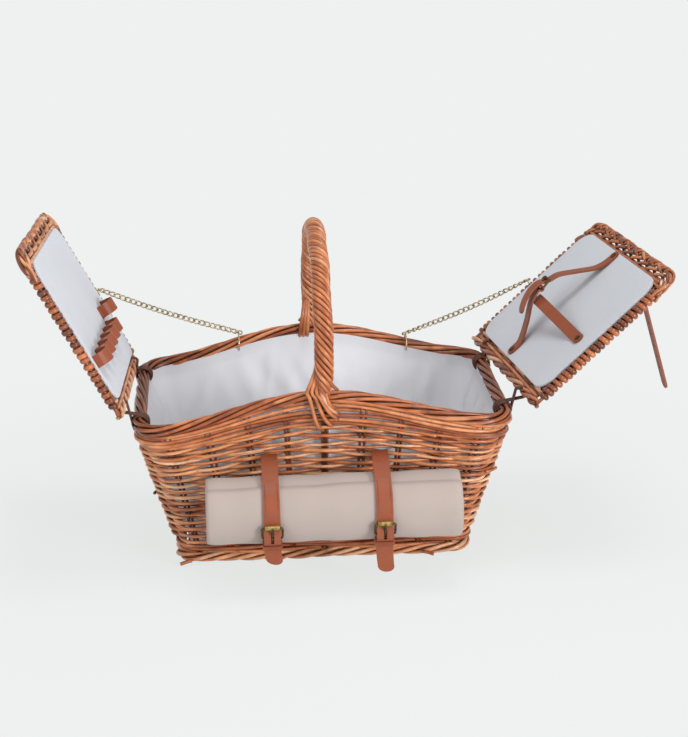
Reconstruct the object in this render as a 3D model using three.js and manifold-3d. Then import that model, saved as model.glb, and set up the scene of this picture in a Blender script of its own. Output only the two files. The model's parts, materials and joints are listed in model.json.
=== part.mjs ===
// Picnic basket with two hinged lids, a bow handle, a cloth lining and a strapped-on blanket roll.
// Lengths in millimetres. X runs along the basket, Y to the back, Z up, with the floor at zero.

import * as THREE from 'three';
import { mergeVertices } from 'three/addons/utils/BufferGeometryUtils.js';
import Module from 'manifold-3d';

const wasm = await Module();
wasm.setup();

// Fits
const gap = 0.3;

// Basket body
const baseHalfLength = 187;
const baseHalfWidth = 98;
const baseCorner = 30;
const footHeight = 14;
const footBand = 13;
const rimHalfLength = 233;
const rimHalfWidth = 150;
const rimCorner = 44;
const rimRadius = 9;
const rimEndHeight = 192;
const rimArch = 40;
const wallThickness = 11;
const wallOutset = 2.5;
const weaveRelief = 3;
const weaveBands = 6;
const liningThickness = 1.2;
const liningDrop = 9;
const liningClearance = 0.5;

// Handle
const bowRadius = 4;
const wrapRadius = 12;
const handleRise = 183.6;
const bowDepth = 0.45;
const wrapStart = 0.063;
const bowSteps = 10;
const footStrandThickness = 4.5;
const footStrandWidth = 36;
const footStrandDrop = 42;
const footStrandBend = 18;

// Lids, drawn flat with the hinge rod on the lid's own Y axis, the inner face towards +Z
const lidLength = 222;
const lidHalfWidth = 150;
const lidRodRadius = 6;
const lidCorner = 22;
const lidPanelHalf = 4;
const lidWeaveRelief = 2.8;
const lidWeaveBands = 8;
const lidStickSpacing = 42;
const lidLiningThickness = 2.5;
const lidLiningInset = 14;
const lidLiningCorner = 24;
const hingeOffset = 95;
const hingeWire = 1.6;

// How the lids stand open, with the turn from flat over the basket and the loose hinge's tilted axis
const leftHingeOut = 8.3;
const leftHingeUp = 17.9;
const leftHingeShift = -9.6;
const rightHingeOut = 6.1;
const rightHingeUp = 21;
const rightHingeShift = -5;
const leftLidPose = {
  hinge: [-rimHalfLength - leftHingeOut, leftHingeShift, rimEndHeight + leftHingeUp],
  axis: [-0.039, -0.9989, 0.0265],
  opened: 118.8,
  closedAt: 12.5,
};
const rightLidPose = {
  hinge: [rimHalfLength + rightHingeOut, rightHingeShift, rimEndHeight + rightHingeUp],
  axis: [-0.063, 0.9978, 0.0186],
  opened: 139.2,
  closedAt: 10.5,
};

// Straps
const leather = 2.4;
const blanketStrapWidth = 20;
const blanketStrapPlaces = [-69, 66];
const blanketTailEnds = [39, 24];
const blanketTailLeans = [4.5, 3];
const strapTipLength = 7;
const cutleryStrapWidth = 16;
const cutleryStrapPlace = 68;
const cutleryLoops = [36, 76, 116, 156, 196];
const cutleryLoopWidth = 32;
const loneLoopPlace = 88;
const loneLoopFromFront = 240;
const cutleryLoopHeight = 17;
const plateStrapWidth = 15;
const plateStrapLine = 10;
const plateStandoff = 46;
const plateTop = lidLength - 14;
const closureStrapWidth = 16;
const closureStrapLength = 184;
const closureHang = 115;

// Buckles
const barRadius = 1.5;
const rollerRadius = 3;
const prongThickness = 2;
const prongWidth = 2.4;
const keeperThickness = 1.5;
const keeperClearance = 0.6;
const keeperWidth = 9;
const rivetRadius = 4;
const rivetHeight = 1.6;

// Blanket
const blanketRadius = 42.5;
const blanketLength = 306;
const blanketMiddle = 7;
const blanketHeight = 99;
const blanketLayer = 5;

// Chains
const chainWire = 0.9;
const chainPitch = 7.4;
const chainHalfWidth = 3.6;
const chainRimPlaces = [-97, 127];
const chainLidPlace = 104;
const chainRingWire = 1;
const chainRingSlack = 2.2;

// Colours
const willow = { color: 0xb5713f, roughness: 0.6, metalness: 0 };
const willowDark = { color: 0x8a4f2b, roughness: 0.65, metalness: 0 };
const cloth = { color: 0xe2e3ea, roughness: 0.95, metalness: 0 };
const wool = { color: 0xcbbcb0, roughness: 1, metalness: 0 };
const tan = { color: 0xa65a3c, roughness: 0.5, metalness: 0 };
const brass = { color: 0xc2a566, roughness: 0.35, metalness: 0.9 };
const bronze = { color: 0xa08a62, roughness: 0.4, metalness: 0.9 };
const wireBrown = { color: 0x4a3020, roughness: 0.6, metalness: 0.2 };

const basket = new THREE.Group();
basket.name = 'picnic_basket';

const point = (x, y, z) => new THREE.Vector3(x, y, z);
const flat = (a, b) => new THREE.Vector2(a, b);
const mix = (a, b, t) => a + (b - a) * t;
const radians = THREE.MathUtils.degToRad;

function add(name, geometry, finish, matrix) {
  const shape = geometry.clone();
  if (matrix) shape.applyMatrix4(matrix);
  const mesh = new THREE.Mesh(shape, new THREE.MeshStandardMaterial(finish));
  mesh.name = name;
  basket.add(mesh);
}

// A closed surface from points and triangles, turned to face out
function outward(positions, faces) {
  const corner = (k) => point(positions[3 * k], positions[3 * k + 1], positions[3 * k + 2]);
  let volume = 0;
  for (let i = 0; i < faces.length; i += 3) {
    const [a, b, c] = [corner(faces[i]), corner(faces[i + 1]), corner(faces[i + 2])];
    volume += a.dot(b.cross(c));
  }
  const order = volume < 0 ? faces.slice().reverse() : faces;
  const geometry = new THREE.BufferGeometry();
  geometry.setAttribute('position', new THREE.Float32BufferAttribute(positions, 3));
  geometry.setIndex(order);
  return geometry;
}

// Skin over a row of closed loops; a row that runs around joins its ends, any other is capped
function skin(loops, around) {
  const count = loops[0].length;
  const positions = [];
  const faces = [];
  loops.forEach((loop) => loop.forEach((p) => positions.push(p.x, p.y, p.z)));
  const bands = around ? loops.length : loops.length - 1;
  for (let i = 0; i < bands; i += 1) {
    const here = i * count;
    const next = ((i + 1) % loops.length) * count;
    for (let j = 0; j < count; j += 1) {
      const k = (j + 1) % count;
      faces.push(here + j, here + k, next + k);
      faces.push(here + j, next + k, next + j);
    }
  }
  if (!around) {
    [0, loops.length - 1].forEach((row) => {
      const middle = point(0, 0, 0);
      loops[row].forEach((p) => middle.addScaledVector(p, 1 / count));
      const centre = positions.length / 3;
      positions.push(middle.x, middle.y, middle.z);
      for (let j = 0; j < count; j += 1) {
        const k = (j + 1) % count;
        const [a, b] = row === 0 ? [k, j] : [j, k];
        faces.push(centre, row * count + a, row * count + b);
      }
    });
  }
  return outward(positions, faces);
}

function round(radius, sides) {
  const steps = Array.from({ length: sides }, (_, i) => (2 * Math.PI * (i + 0.5)) / sides);
  return steps.map((t) => flat(radius * Math.cos(t), radius * Math.sin(t)));
}

// Loops of a profile carried along a path, with its first axis kept close to a given direction
function carried(path, profile, towards, closed) {
  const last = path.length - 1;
  return path.map((p, i) => {
    const before = closed ? path[(i + last) % (last + 1)] : path[Math.max(i - 1, 0)];
    const after = closed ? path[(i + 1) % (last + 1)] : path[Math.min(i + 1, last)];
    const along = after.clone().sub(before).normalize();
    const first = towards.clone().addScaledVector(along, -towards.dot(along)).normalize();
    const second = along.clone().cross(first);
    return profile.map((q) => p.clone().addScaledVector(first, q.x).addScaledVector(second, q.y));
  });
}

const rod = (path, radius, sides, towards) => skin(carried(path, round(radius, sides), towards, false), false);
const ring = (path, radius, sides, towards) => skin(carried(path, round(radius, sides), towards, true), true);

function solid(geometry) {
  const bare = geometry.clone();
  bare.deleteAttribute('normal');
  bare.deleteAttribute('uv');
  const welded = mergeVertices(bare, 1e-4);
  const vertProperties = new Float32Array(welded.attributes.position.array);
  const triVerts = new Uint32Array(welded.index.array);
  return new wasm.Manifold(new wasm.Mesh({ numProp: 3, vertProperties, triVerts }));
}

function shapeOf(body) {
  const mesh = body.getMesh();
  const geometry = new THREE.BufferGeometry();
  geometry.setAttribute('position', new THREE.Float32BufferAttribute(mesh.vertProperties, 3));
  geometry.setIndex(Array.from(mesh.triVerts));
  return geometry;
}

const cut = (geometry, cutters) => shapeOf(cutters.reduce((rest, c) => rest.subtract(solid(c)), solid(geometry)));
const joined = (shapes) => shapeOf(shapes.slice(1).reduce((all, s) => all.add(solid(s)), solid(shapes[0])));

function block(sizeX, sizeY, sizeZ, x, y, z) {
  return new THREE.BoxGeometry(sizeX, sizeY, sizeZ).translate(x, y, z);
}

// Rounded rectangle as a closed list of flat points with the same count for every size
function roundedRectangle(halfLength, halfWidth, corner, longSteps, shortSteps, cornerSteps) {
  const points = [];
  const x = halfLength - corner;
  const y = halfWidth - corner;
  const side = (fromX, fromY, toX, toY, steps) => {
    for (let i = 0; i < steps; i += 1) points.push(flat(mix(fromX, toX, i / steps), mix(fromY, toY, i / steps)));
  };
  const bend = (centreX, centreY, start) => {
    for (let i = 0; i < cornerSteps; i += 1) {
      const t = start + (Math.PI / 2) * (i / cornerSteps);
      points.push(flat(centreX + corner * Math.cos(t), centreY + corner * Math.sin(t)));
    }
  };
  side(-x, -halfWidth, x, -halfWidth, longSteps);
  bend(x, -y, -Math.PI / 2);
  side(halfLength, -y, halfLength, y, shortSteps);
  bend(x, y, 0);
  side(x, halfWidth, -x, halfWidth, longSteps);
  bend(-x, y, Math.PI / 2);
  side(-halfLength, y, -halfLength, -y, shortSteps);
  bend(-x, -y, Math.PI);
  return points;
}

// Outline of a strap of even thickness that follows a flat path
function bandOutline(path, thickness) {
  const sides = [[], []];
  path.forEach((p, i) => {
    const before = path[Math.max(i - 1, 0)];
    const after = path[Math.min(i + 1, path.length - 1)];
    const along = after.clone().sub(before).normalize();
    const across = flat(-along.y, along.x).multiplyScalar(thickness / 2);
    sides[0].push(p.clone().add(across));
    sides[1].unshift(p.clone().sub(across));
  });
  return sides[0].concat(sides[1]);
}

// A flat outline given width along one direction, centred on the place of its frame
function slab(outline, width, frame, holes = []) {
  const shape = new THREE.Shape(outline);
  holes.forEach((hole) => shape.holes.push(new THREE.Path(hole)));
  const geometry = new THREE.ExtrudeGeometry(shape, { depth: width, bevelEnabled: false });
  return geometry.translate(0, 0, -width / 2).applyMatrix4(frame);
}

function frameOf(first, second, third, x, y, z) {
  return new THREE.Matrix4().makeBasis(first, second, third).setPosition(x, y, z);
}

const alongX = point(1, 0, 0);
const alongY = point(0, 1, 0);
const alongZ = point(0, 0, 1);
const sideFrame = (x) => frameOf(alongY, alongZ, alongX, x, 0, 0);
const lengthFrame = (y) => frameOf(alongX, alongZ, alongY.clone().negate(), 0, y, 0);
const flowing = (points, steps) => new THREE.SplineCurve(points).getPoints(steps);

function arc(centre, radius, fromDegrees, toDegrees, steps) {
  return Array.from({ length: steps + 1 }, (_, i) => {
    const t = radians(mix(fromDegrees, toDegrees, i / steps));
    return flat(centre.x + radius * Math.cos(t), centre.y + radius * Math.sin(t));
  });
}

// Rim, foot, base and wall

const frontSteps = 16;
const endSteps = 8;
const bendSteps = 6;
const bodyOutline = (halfLength, halfWidth, corner) => (
  roundedRectangle(halfLength, halfWidth, corner, frontSteps, endSteps, bendSteps));
const rimLine = bodyOutline(rimHalfLength - rimRadius, rimHalfWidth - rimRadius, rimCorner - rimRadius);

function rimHeight(x) {
  const across = Math.min(Math.abs(x) / (rimHalfLength - rimRadius), 1);
  return rimEndHeight + (rimArch * (1 + Math.cos(Math.PI * across))) / 2;
}

const wallFoot = footHeight + gap;
const wallTop = (x) => rimHeight(x) - rimRadius - gap;

// Loop of the wall at a share of its height, shifted out from the middle of its thickness
function wallLoop(share, shift, drop = 0) {
  const half = footBand / 2 - shift;
  const low = bodyOutline(baseHalfLength - half, baseHalfWidth - half, baseCorner - half);
  const reach = rimRadius - wallOutset - shift;
  const high = bodyOutline(rimHalfLength - reach, rimHalfWidth - reach, rimCorner - reach);
  return low.map((p, i) => {
    const top = wallTop(rimLine[i].x);
    const level = share * (1 - drop / (top - wallFoot));
    return point(mix(p.x, high[i].x, level), mix(p.y, high[i].y, level), mix(wallFoot, top, level));
  });
}

// Depth of the front wall at a place along the basket and a height, shifted out from its middle line
const lowDepth = baseHalfWidth - footBand / 2;
const highDepth = rimHalfWidth - rimRadius + wallOutset;
const wallSpread = (baseHalfLength - baseCorner) / (rimHalfLength - rimCorner);

function wallShare(x, z) {
  let share = 0.5;
  for (let i = 0; i < 6; i += 1) {
    const above = x / mix(wallSpread, 1, share);
    share = (z - wallFoot) / (wallTop(above) - wallFoot);
  }
  return share;
}

const frontWall = (x, z, shift) => -mix(lowDepth + shift, highDepth + shift, wallShare(x, z));

const rimPath = rimLine.map((p) => point(p.x, p.y, rimHeight(p.x)));
const shares = [0, 0.5, 1];

const bowFoot = point(0, frontWall(0, mix(wallFoot, wallTop(0), bowDepth), 0), mix(wallFoot, wallTop(0), bowDepth));
const bowRim = point(0, -(rimHalfWidth - rimRadius + wallOutset), rimHeight(0));
const bowLean = bowRim.clone().sub(bowFoot).normalize();
const bowTop = point(0, 0, rimHeight(0) + handleRise - wrapRadius);
const bowCurve = new THREE.CubicBezierCurve3(
  bowRim,
  bowRim.clone().addScaledVector(bowLean, 105),
  point(0, -88, bowTop.z),
  bowTop,
);
const wrapHalf = Array.from({ length: bowSteps + 1 }, (_, i) => bowCurve.getPoint(mix(wrapStart, 1, i / bowSteps)));
const mirrored = (points) => points.slice().reverse().map((p) => point(p.x, -p.y, p.z));
const halfPath = [bowFoot, bowRim, ...wrapHalf];
const bowPath = halfPath.concat(mirrored(halfPath).slice(1));
const bowHole = rod(bowPath, bowRadius + gap, 10, alongX);

// Hinge loops, each as tight as the lid rod's loose path in it allows

function lidMatrix(pose, sign, turn) {
  const [x, y, z] = pose.hinge;
  const closed = frameOf(point(-sign, 0, 0), point(0, sign, 0), point(0, 0, -1), 0, 0, 0);
  const axis = point(...pose.axis).normalize();
  return new THREE.Matrix4().makeTranslation(x, y, z)
    .multiply(new THREE.Matrix4().makeRotationAxis(axis, radians(turn)))
    .multiply(closed);
}

function lidTurns(pose) {
  const steps = 12;
  return Array.from({ length: steps + 1 }, (_, i) => mix(pose.closedAt - 1, pose.opened, i / steps));
}

// Where the lid's hinge rod crosses the plane of a hinge loop at a turn of the lid
function rodCrossing(pose, sign, turn, y) {
  const matrix = lidMatrix(pose, sign, turn);
  const a = point(0, -lidHalfWidth, 0).applyMatrix4(matrix);
  const b = point(0, lidHalfWidth, 0).applyMatrix4(matrix);
  return a.lerp(b, (y - a.y) / (b.y - a.y));
}

function convexHull(points) {
  const sorted = points.slice().sort((a, b) => a.x - b.x || a.y - b.y);
  const turnOf = (o, a, b) => (a.x - o.x) * (b.y - o.y) - (a.y - o.y) * (b.x - o.x);
  const half = (list) => {
    const kept = [];
    list.forEach((p) => {
      while (kept.length > 1 && turnOf(kept[kept.length - 2], kept[kept.length - 1], p) <= 1e-6) kept.pop();
      kept.push(p);
    });
    kept.pop();
    return kept;
  };
  return half(sorted).concat(half(sorted.slice().reverse()));
}

function hingeLoopPath(pose, sign, y) {
  const reach = gap + hingeWire;
  const rimX = sign * rimPath.filter((p) => p.x > 0 && Math.abs(p.y) <= Math.abs(y) + 12)
    .reduce((least, p) => Math.min(least, p.x), rimHalfLength);
  const circles = [[flat(rimX, rimEndHeight), rimRadius + 1 + reach]];
  lidTurns(pose).forEach((turn) => {
    const p = rodCrossing(pose, sign, turn, y);
    circles.push([flat(p.x, p.z), lidRodRadius + 0.4 + reach]);
  });
  const points = circles.flatMap(([centre, radius]) => arc(centre, radius, 0, 340, 17));
  return convexHull(points).map((p) => point(p.x, y, p.y));
}

// How far a hinge loop reaches into the lid, past its hinge rod
function hingeNotch(pose, sign, y) {
  const path = hingeLoopPath(pose, sign, y);
  const depth = lidRodRadius + lidLiningThickness + hingeWire + 1;
  let reach = 0;
  const wirePoints = path.flatMap((p, i) => [0, 0.25, 0.5, 0.75].map((t) => (
    p.clone().lerp(path[(i + 1) % path.length], t))));
  lidTurns(pose).forEach((turn) => {
    const back = lidMatrix(pose, sign, turn).invert();
    wirePoints.forEach((p) => {
      const q = p.clone().applyMatrix4(back);
      if (Math.abs(q.z) < depth) reach = Math.max(reach, q.x);
    });
  });
  return reach + hingeWire + 1;
}

const hingePlaces = [-hingeOffset, hingeOffset];
const hingeSlots = [-1, 1].flatMap((sign) => hingePlaces.map((y) => {
  const depth = rimRadius + 1 + 2 * hingeWire + 2 * gap;
  return block(60, 2 * hingeWire + 2, 2 * depth, sign * rimHalfLength, y, rimEndHeight);
}));

// Chain rings on the back rim

const backRim = rimHalfWidth - rimRadius;
const rimRingRadius = rimRadius + 2 * gap + chainRingWire + chainRingSlack;
const circleInSide = (x, y, z, radius) => arc(flat(y, z), radius, 0, 337.5, 15).map((q) => point(x, q.x, q.y));
const chainSlots = chainRimPlaces.map((x) => {
  const depth = rimRadius + 2 * chainRingWire + 4 * gap;
  return block(2 * chainRingWire + 3, 40, 2 * depth, x, backRim, rimHeight(x));
});

// Blanket roll and the straps that go through the wall and around it

const rollEnd = blanketMiddle + blanketLength / 2;
const rollShift = wallThickness / 2 + gap;
const wallSlope = (frontWall(rollEnd, blanketHeight + 20, rollShift) - frontWall(rollEnd, blanketHeight, rollShift)) / 20;
const rollCentre = flat(
  frontWall(rollEnd, blanketHeight, rollShift) - blanketRadius * Math.hypot(1, wallSlope), blanketHeight);
const onRoll = (degrees, height) => flat(
  rollCentre.x - (blanketRadius + height) * Math.cos(radians(degrees)),
  rollCentre.y + (blanketRadius + height) * Math.sin(radians(degrees)),
);
const lyingHeight = gap + leather / 2;
const rollerAngle = -6;
const endBarAngle = -26;
const keeperAngle = -45;
const rollerHeight = 3 * gap + leather + rollerRadius;
const eyeRadius = barRadius + gap + leather;
const endBarHeight = gap + eyeRadius;
const overBarHeight = endBarHeight + eyeRadius + lyingHeight;
const underKeeperHeight = gap + keeperThickness + keeperClearance + leather / 2;
const overKeeperHeight = underKeeperHeight + leather + gap;
const tailRise = 3.5;
const tailStandoff = 24;
const upperSlotHeight = 157;
const lowerSlotHeight = 50;

function blanketStrapPath(x, tailEnd) {
  const wall = (z, shift) => flat(frontWall(x, z, shift), z);
  const tail = onRoll(keeperAngle - 9, overKeeperHeight + 1);
  return [
    flat(tail.x - 1, tailEnd),
    flat(tail.x - 0.5, mix(tail.y, tailEnd, 0.4)),
    tail,
    onRoll(keeperAngle - 4, overKeeperHeight),
    onRoll(keeperAngle + 5, overKeeperHeight),
    onRoll(endBarAngle, overBarHeight),
    onRoll((2 * rollerAngle + endBarAngle) / 3, mix(lyingHeight, overBarHeight, 0.36)),
    onRoll(rollerAngle, lyingHeight),
    onRoll(12, lyingHeight),
    onRoll(30, lyingHeight),
    onRoll(48, lyingHeight),
    onRoll(66, lyingHeight + 0.4),
    wall(upperSlotHeight - 4, 26),
    wall(upperSlotHeight, 6),
    wall(upperSlotHeight - 8, 0),
    wall(upperSlotHeight - 30, 0),
    wall(lowerSlotHeight + 30, 0),
    wall(lowerSlotHeight + 8, 0),
    wall(lowerSlotHeight, 6),
    wall(lowerSlotHeight + 1, 26),
    onRoll(-100, lyingHeight + 0.8),
    onRoll(-82, lyingHeight),
    onRoll(-64, lyingHeight + 0.6),
    onRoll(keeperAngle - 5, underKeeperHeight),
    onRoll(keeperAngle + 5, underKeeperHeight),
    onRoll(endBarAngle - 3, endBarHeight),
  ];
}

const strapTunnels = blanketStrapPlaces.map((x) => {
  const path = flowing(blanketStrapPath(x, 30).slice(11, 21), 40);
  return slab(bandOutline(path, leather + 2 * gap), blanketStrapWidth + 2 * gap, sideFrame(x));
});

// Stakes passed on the way round to each point: one every two steps of a side, and one in each bend
const stakeShares = [[frontSteps, 0.5], [bendSteps, 1 / bendSteps], [endSteps, 0.5], [bendSteps, 1 / bendSteps]]
  .flatMap(([steps, share]) => Array(steps).fill(share));
let stakesSoFar = 0;
const stakesPassed = stakeShares.concat(stakeShares).map((share) => {
  stakesSoFar += share;
  return stakesSoFar - share;
});

// Outside of the wall where the weavers lie in front of every other stake
function wovenLoop(band) {
  const share = (band + 0.5) / weaveBands;
  const proud = wallLoop(share, wallThickness / 2);
  const sunk = wallLoop(share, wallThickness / 2 - weaveRelief);
  return proud.map((p, i) => p.lerp(sunk[i], (1 - Math.cos(Math.PI * (stakesPassed[i] + band))) / 2));
}

const wallOutside = Array.from({ length: weaveBands }, (_, band) => wovenLoop(band));
const wallShell = skin([
  wallLoop(0, wallThickness / 2),
  ...wallOutside,
  wallLoop(1, wallThickness / 2),
  ...shares.slice().reverse().map((s) => wallLoop(s, -wallThickness / 2)),
], true);
add('wall_weave', cut(wallShell, [bowHole, ...hingeSlots, ...chainSlots, ...strapTunnels]), willow);

add('rim_border', cut(ring(rimPath, rimRadius, 8, alongZ), [bowHole]), willow);

const footSection = [[2.5, 0], [0, footHeight / 2], [2.5, footHeight], [footBand - 2.5, footHeight],
  [footBand, footHeight / 2], [footBand - 2.5, 0]];
const footLoops = footSection.map(([inset, z]) => (
  bodyOutline(baseHalfLength - inset, baseHalfWidth - inset, baseCorner - inset).map((p) => point(p.x, p.y, z))
));
add('foot_border', skin(footLoops, true), willow);

const baseInset = footBand + gap;
const baseLoop = bodyOutline(baseHalfLength - baseInset, baseHalfWidth - baseInset, baseCorner - baseInset);
add('base_panel', skin([0, footHeight].map((z) => baseLoop.map((p) => point(p.x, p.y, z))), false), willow);

const liningOut = -wallThickness / 2 - liningClearance;
const liningIn = liningOut - liningThickness;
const liningFloor = wallLoop(0, liningIn).map((p) => point(p.x, p.y, wallFoot + liningThickness));
const liningLoops = shares.map((s) => wallLoop(s, liningOut, liningDrop))
  .concat(shares.slice(1).reverse().map((s) => wallLoop(s, liningIn, liningDrop)), [liningFloor]);
add('lining_bag', skin(liningLoops, false), cloth);

// Handle

add('handle_bow', rod(bowPath, bowRadius, 8, alongX), willowDark);

const wrapLine = wrapHalf.concat(mirrored(wrapHalf).slice(1));
const wrapOut = carried(wrapLine, round(wrapRadius, 8), alongX, false);
const wrapIn = carried(wrapLine, round(bowRadius + 1.5 * gap, 8), alongX, false);
add('handle_wrap', skin(wrapOut.concat(wrapIn.reverse()), true), willow);

const saddleRadius = rimRadius + gap + footStrandThickness / 2;
const saddleCentre = flat(-(rimHalfWidth - rimRadius), rimHeight(0));
const strandShift = wallThickness / 2 + gap + footStrandThickness / 2 + 0.6;
const strandTail = [
  [footStrandBend, 1.6],
  [(footStrandBend + footStrandDrop) / 2, 0],
  [footStrandDrop, 0],
];
const strandPath = arc(saddleCentre, saddleRadius, 0, 180, 12).concat(strandTail.map(([drop, more]) => {
  const height = rimHeight(0) - drop;
  return flat(frontWall(0, height, strandShift + more), height);
}));
const strands = cut(
  slab(bandOutline(strandPath, footStrandThickness), footStrandWidth, sideFrame(0)),
  [rod(bowPath, bowRadius + gap, 10, alongX)],
);
add('handle_foot_front', strands, willow);
add('handle_foot_back', strands, willow, new THREE.Matrix4().makeRotationZ(Math.PI));

// Hinge loops and chain rings of the basket

[['left', leftLidPose, -1], ['right', rightLidPose, 1]].forEach(([name, pose, sign]) => {
  hingePlaces.forEach((y) => {
    const place = y < 0 ? 'front' : 'back';
    add(`${name}_hinge_loop_${place}`, ring(hingeLoopPath(pose, sign, y), hingeWire, 5, alongY), wireBrown);
  });
});

chainRimPlaces.forEach((x) => {
  const name = x < 0 ? 'left_chain_rim_ring' : 'right_chain_rim_ring';
  add(name, ring(circleInSide(x, backRim, rimHeight(x) + chainRingSlack, rimRingRadius), chainRingWire, 5, alongX), bronze);
});

// Blanket: one outer layer ends in a step along the front

const rollOutline = Array.from({ length: 40 }, (_, i) => {
  const t = (360 * i) / 40;
  const layer = blanketRadius - 1.6 * (1 - t / 360);
  return flat(layer * Math.cos(radians(t + 128)), layer * Math.sin(radians(t + 128)));
});
const spiralStart = 14;
const spiral = Array.from({ length: spiralStart * 3 }, (_, i) => {
  const turns = i / spiralStart;
  const radius = blanketRadius - blanketLayer - 1.2 - turns * (blanketLayer + 1.6);
  return flat(radius * Math.cos(2 * Math.PI * turns), radius * Math.sin(2 * Math.PI * turns));
});
const rollFrame = (x) => frameOf(alongY, alongZ, alongX, x, rollCentre.x, rollCentre.y);
const rollEnds = [-1, 1].map((sign) => slab(
  bandOutline(spiral, 1.6), 16, rollFrame(blanketMiddle + (sign * blanketLength) / 2)));
add('blanket_roll', cut(slab(rollOutline, blanketLength, rollFrame(blanketMiddle)), rollEnds), wool);

// Blanket straps with their buckles

// What is cut from the end of a hanging tail to leave a round tip
function tipWaste(x, end) {
  const half = blanketStrapWidth / 2;
  const depth = 2 * blanketRadius;
  const tip = new THREE.CylinderGeometry(half, half, depth + 2, 20)
    .scale(1, 1, strapTipLength / half)
    .translate(x, rollCentre.x, end + strapTipLength);
  return cut(block(2 * half + 2, depth, strapTipLength + 1, x, rollCentre.x, end + strapTipLength / 2 - 0.5), [tip]);
}

// A hanging tail drawn sideways, more towards its end
function leaned(geometry, end, lean) {
  const places = geometry.attributes.position;
  const top = rollCentre.y - blanketRadius + tailRise;
  for (let i = 0; i < places.count; i += 1) {
    const share = (top - places.getZ(i)) / (top - end);
    const hanging = share > 0 && places.getY(i) < rollCentre.x - tailStandoff;
    if (hanging) places.setX(i, places.getX(i) + lean * share ** 2);
  }
  return geometry;
}

blanketStrapPlaces.forEach((x, side) => {
  const name = x < 0 ? 'left' : 'right';
  const tailEnd = blanketTailEnds[side];
  const endBar = onRoll(endBarAngle, endBarHeight);
  const roller = onRoll(rollerAngle, rollerHeight);
  const path = flowing(blanketStrapPath(x, tailEnd), 66);
  const strip = slab(bandOutline(path, leather), blanketStrapWidth, sideFrame(x));
  const eye = slab(arc(endBar, eyeRadius, 0, 345, 23), blanketStrapWidth, sideFrame(x));
  const eyeHole = slab(arc(endBar, barRadius + gap, 0, 330, 11), blanketStrapWidth + 2, sideFrame(x));
  const hole = onRoll((endBarAngle + rollerAngle) / 2 - 1, 7);
  const prongSlot = block(prongWidth + 1.4, 22, 13, x, hole.x, hole.y - 2);
  const backSlot = block(prongWidth + 1.4, 12, 12, x, endBar.x, endBar.y);
  const strap = cut(joined([strip, eye]), [eyeHole, prongSlot, backSlot, tipWaste(x, tailEnd)]);
  add(`${name}_blanket_strap`, leaned(strap, tailEnd, blanketTailLeans[side]), tan);

  const halfBar = blanketStrapWidth / 2 + gap + barRadius + 0.4;
  const framePath = [[-1, endBar], [1, endBar], [1, roller], [-1, roller]]
    .map(([s, p]) => point(x + s * halfBar, p.x, p.y));
  const across = framePath[3].clone().sub(framePath[0]).normalize();
  const frameLoop = framePath.flatMap((p, i) => {
    const inward = 1.6;
    const sideways = point(i === 0 || i === 3 ? inward : -inward, 0, 0);
    const lengthways = across.clone().multiplyScalar(i < 2 ? inward : -inward);
    const ends = [p.clone().add(lengthways), p.clone().add(sideways)];
    return i === 0 || i === 2 ? ends : ends.reverse();
  });
  add(`${name}_blanket_buckle`, ring(frameLoop, barRadius, 8, alongX.clone().cross(across)), brass);

  const circle = (radius) => arc(roller, radius, 0, 330, 11);
  add(`${name}_blanket_roller`,
    slab(circle(rollerRadius), blanketStrapWidth - 2, sideFrame(x), [circle(barRadius + gap)]), brass);

  const hook = barRadius + gap + prongThickness / 2;
  const resting = onRoll(rollerAngle + 1, rollerHeight + rollerRadius + 3 * gap + prongThickness / 2);
  const lift = Math.atan2(resting.y - endBar.y, resting.x - endBar.x) * (180 / Math.PI);
  const prongPath = arc(endBar, hook, lift + 330, lift + 90, 10).concat([resting]);
  add(`${name}_blanket_prong`, slab(bandOutline(prongPath, prongThickness), prongWidth, sideFrame(x)), brass);

  const low = onRoll(keeperAngle, 0);
  const out = low.clone().sub(rollCentre).normalize();
  const outAxis = point(0, out.x, out.y);
  const half = blanketStrapWidth / 2 + gap;
  const inner = underKeeperHeight - leather / 2 - keeperClearance;
  const outer = overKeeperHeight + leather / 2 + keeperClearance;
  const box = (more) => [flat(-half - more, inner - more), flat(half + more, inner - more),
    flat(half + more, outer + more), flat(-half - more, outer + more)];
  const keeperFrame = frameOf(alongX, outAxis, alongX.clone().cross(outAxis), x, low.x, low.y);
  add(`${name}_blanket_keeper`, slab(box(keeperThickness), keeperWidth, keeperFrame, [box(0)]), tan);
});

// Lids

function lidFace(inset, corner) {
  const halfLength = (lidLength + lidRodRadius) / 2 - inset;
  const outline = roundedRectangle(halfLength, lidHalfWidth - inset, corner, 4, 6, 4);
  return outline.map((p) => flat(p.x + (lidLength - lidRodRadius) / 2, p.y));
}

const layer = (outline, low, high) => skin([low, high].map((z) => outline.map((p) => point(p.x, p.y, z))), false);
const liningLow = lidPanelHalf + gap;
const liningFace = liningLow + lidLiningThickness;
const strapLow = liningFace + gap;
const lidRingRadius = lidRodRadius + gap + chainRingWire + chainRingSlack;
const backRod = lidHalfWidth - lidRodRadius;

// Slab with a woven outer face, larger than the lid's panel
function lidRelief() {
  const halfSticks = Math.ceil(lidHalfWidth / lidStickSpacing);
  const across = Array.from({ length: 4 * halfSticks + 1 }, (_, i) => i / 2 - halfSticks);
  const high = lidPanelHalf + 1;
  const loops = Array.from({ length: lidWeaveBands + 2 }, (_, band) => {
    const x = ((band - 0.5) / lidWeaveBands) * lidLength;
    const face = across.map((k) => {
      const sunk = (lidWeaveRelief * (1 - Math.cos(Math.PI * (k + band)))) / 2;
      return point(x, k * lidStickSpacing, sunk - lidPanelHalf);
    });
    const wide = across.at(-1) * lidStickSpacing;
    return face.concat([point(x, wide, high), point(x, -wide, high)]);
  });
  return skin(loops, false);
}

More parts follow.
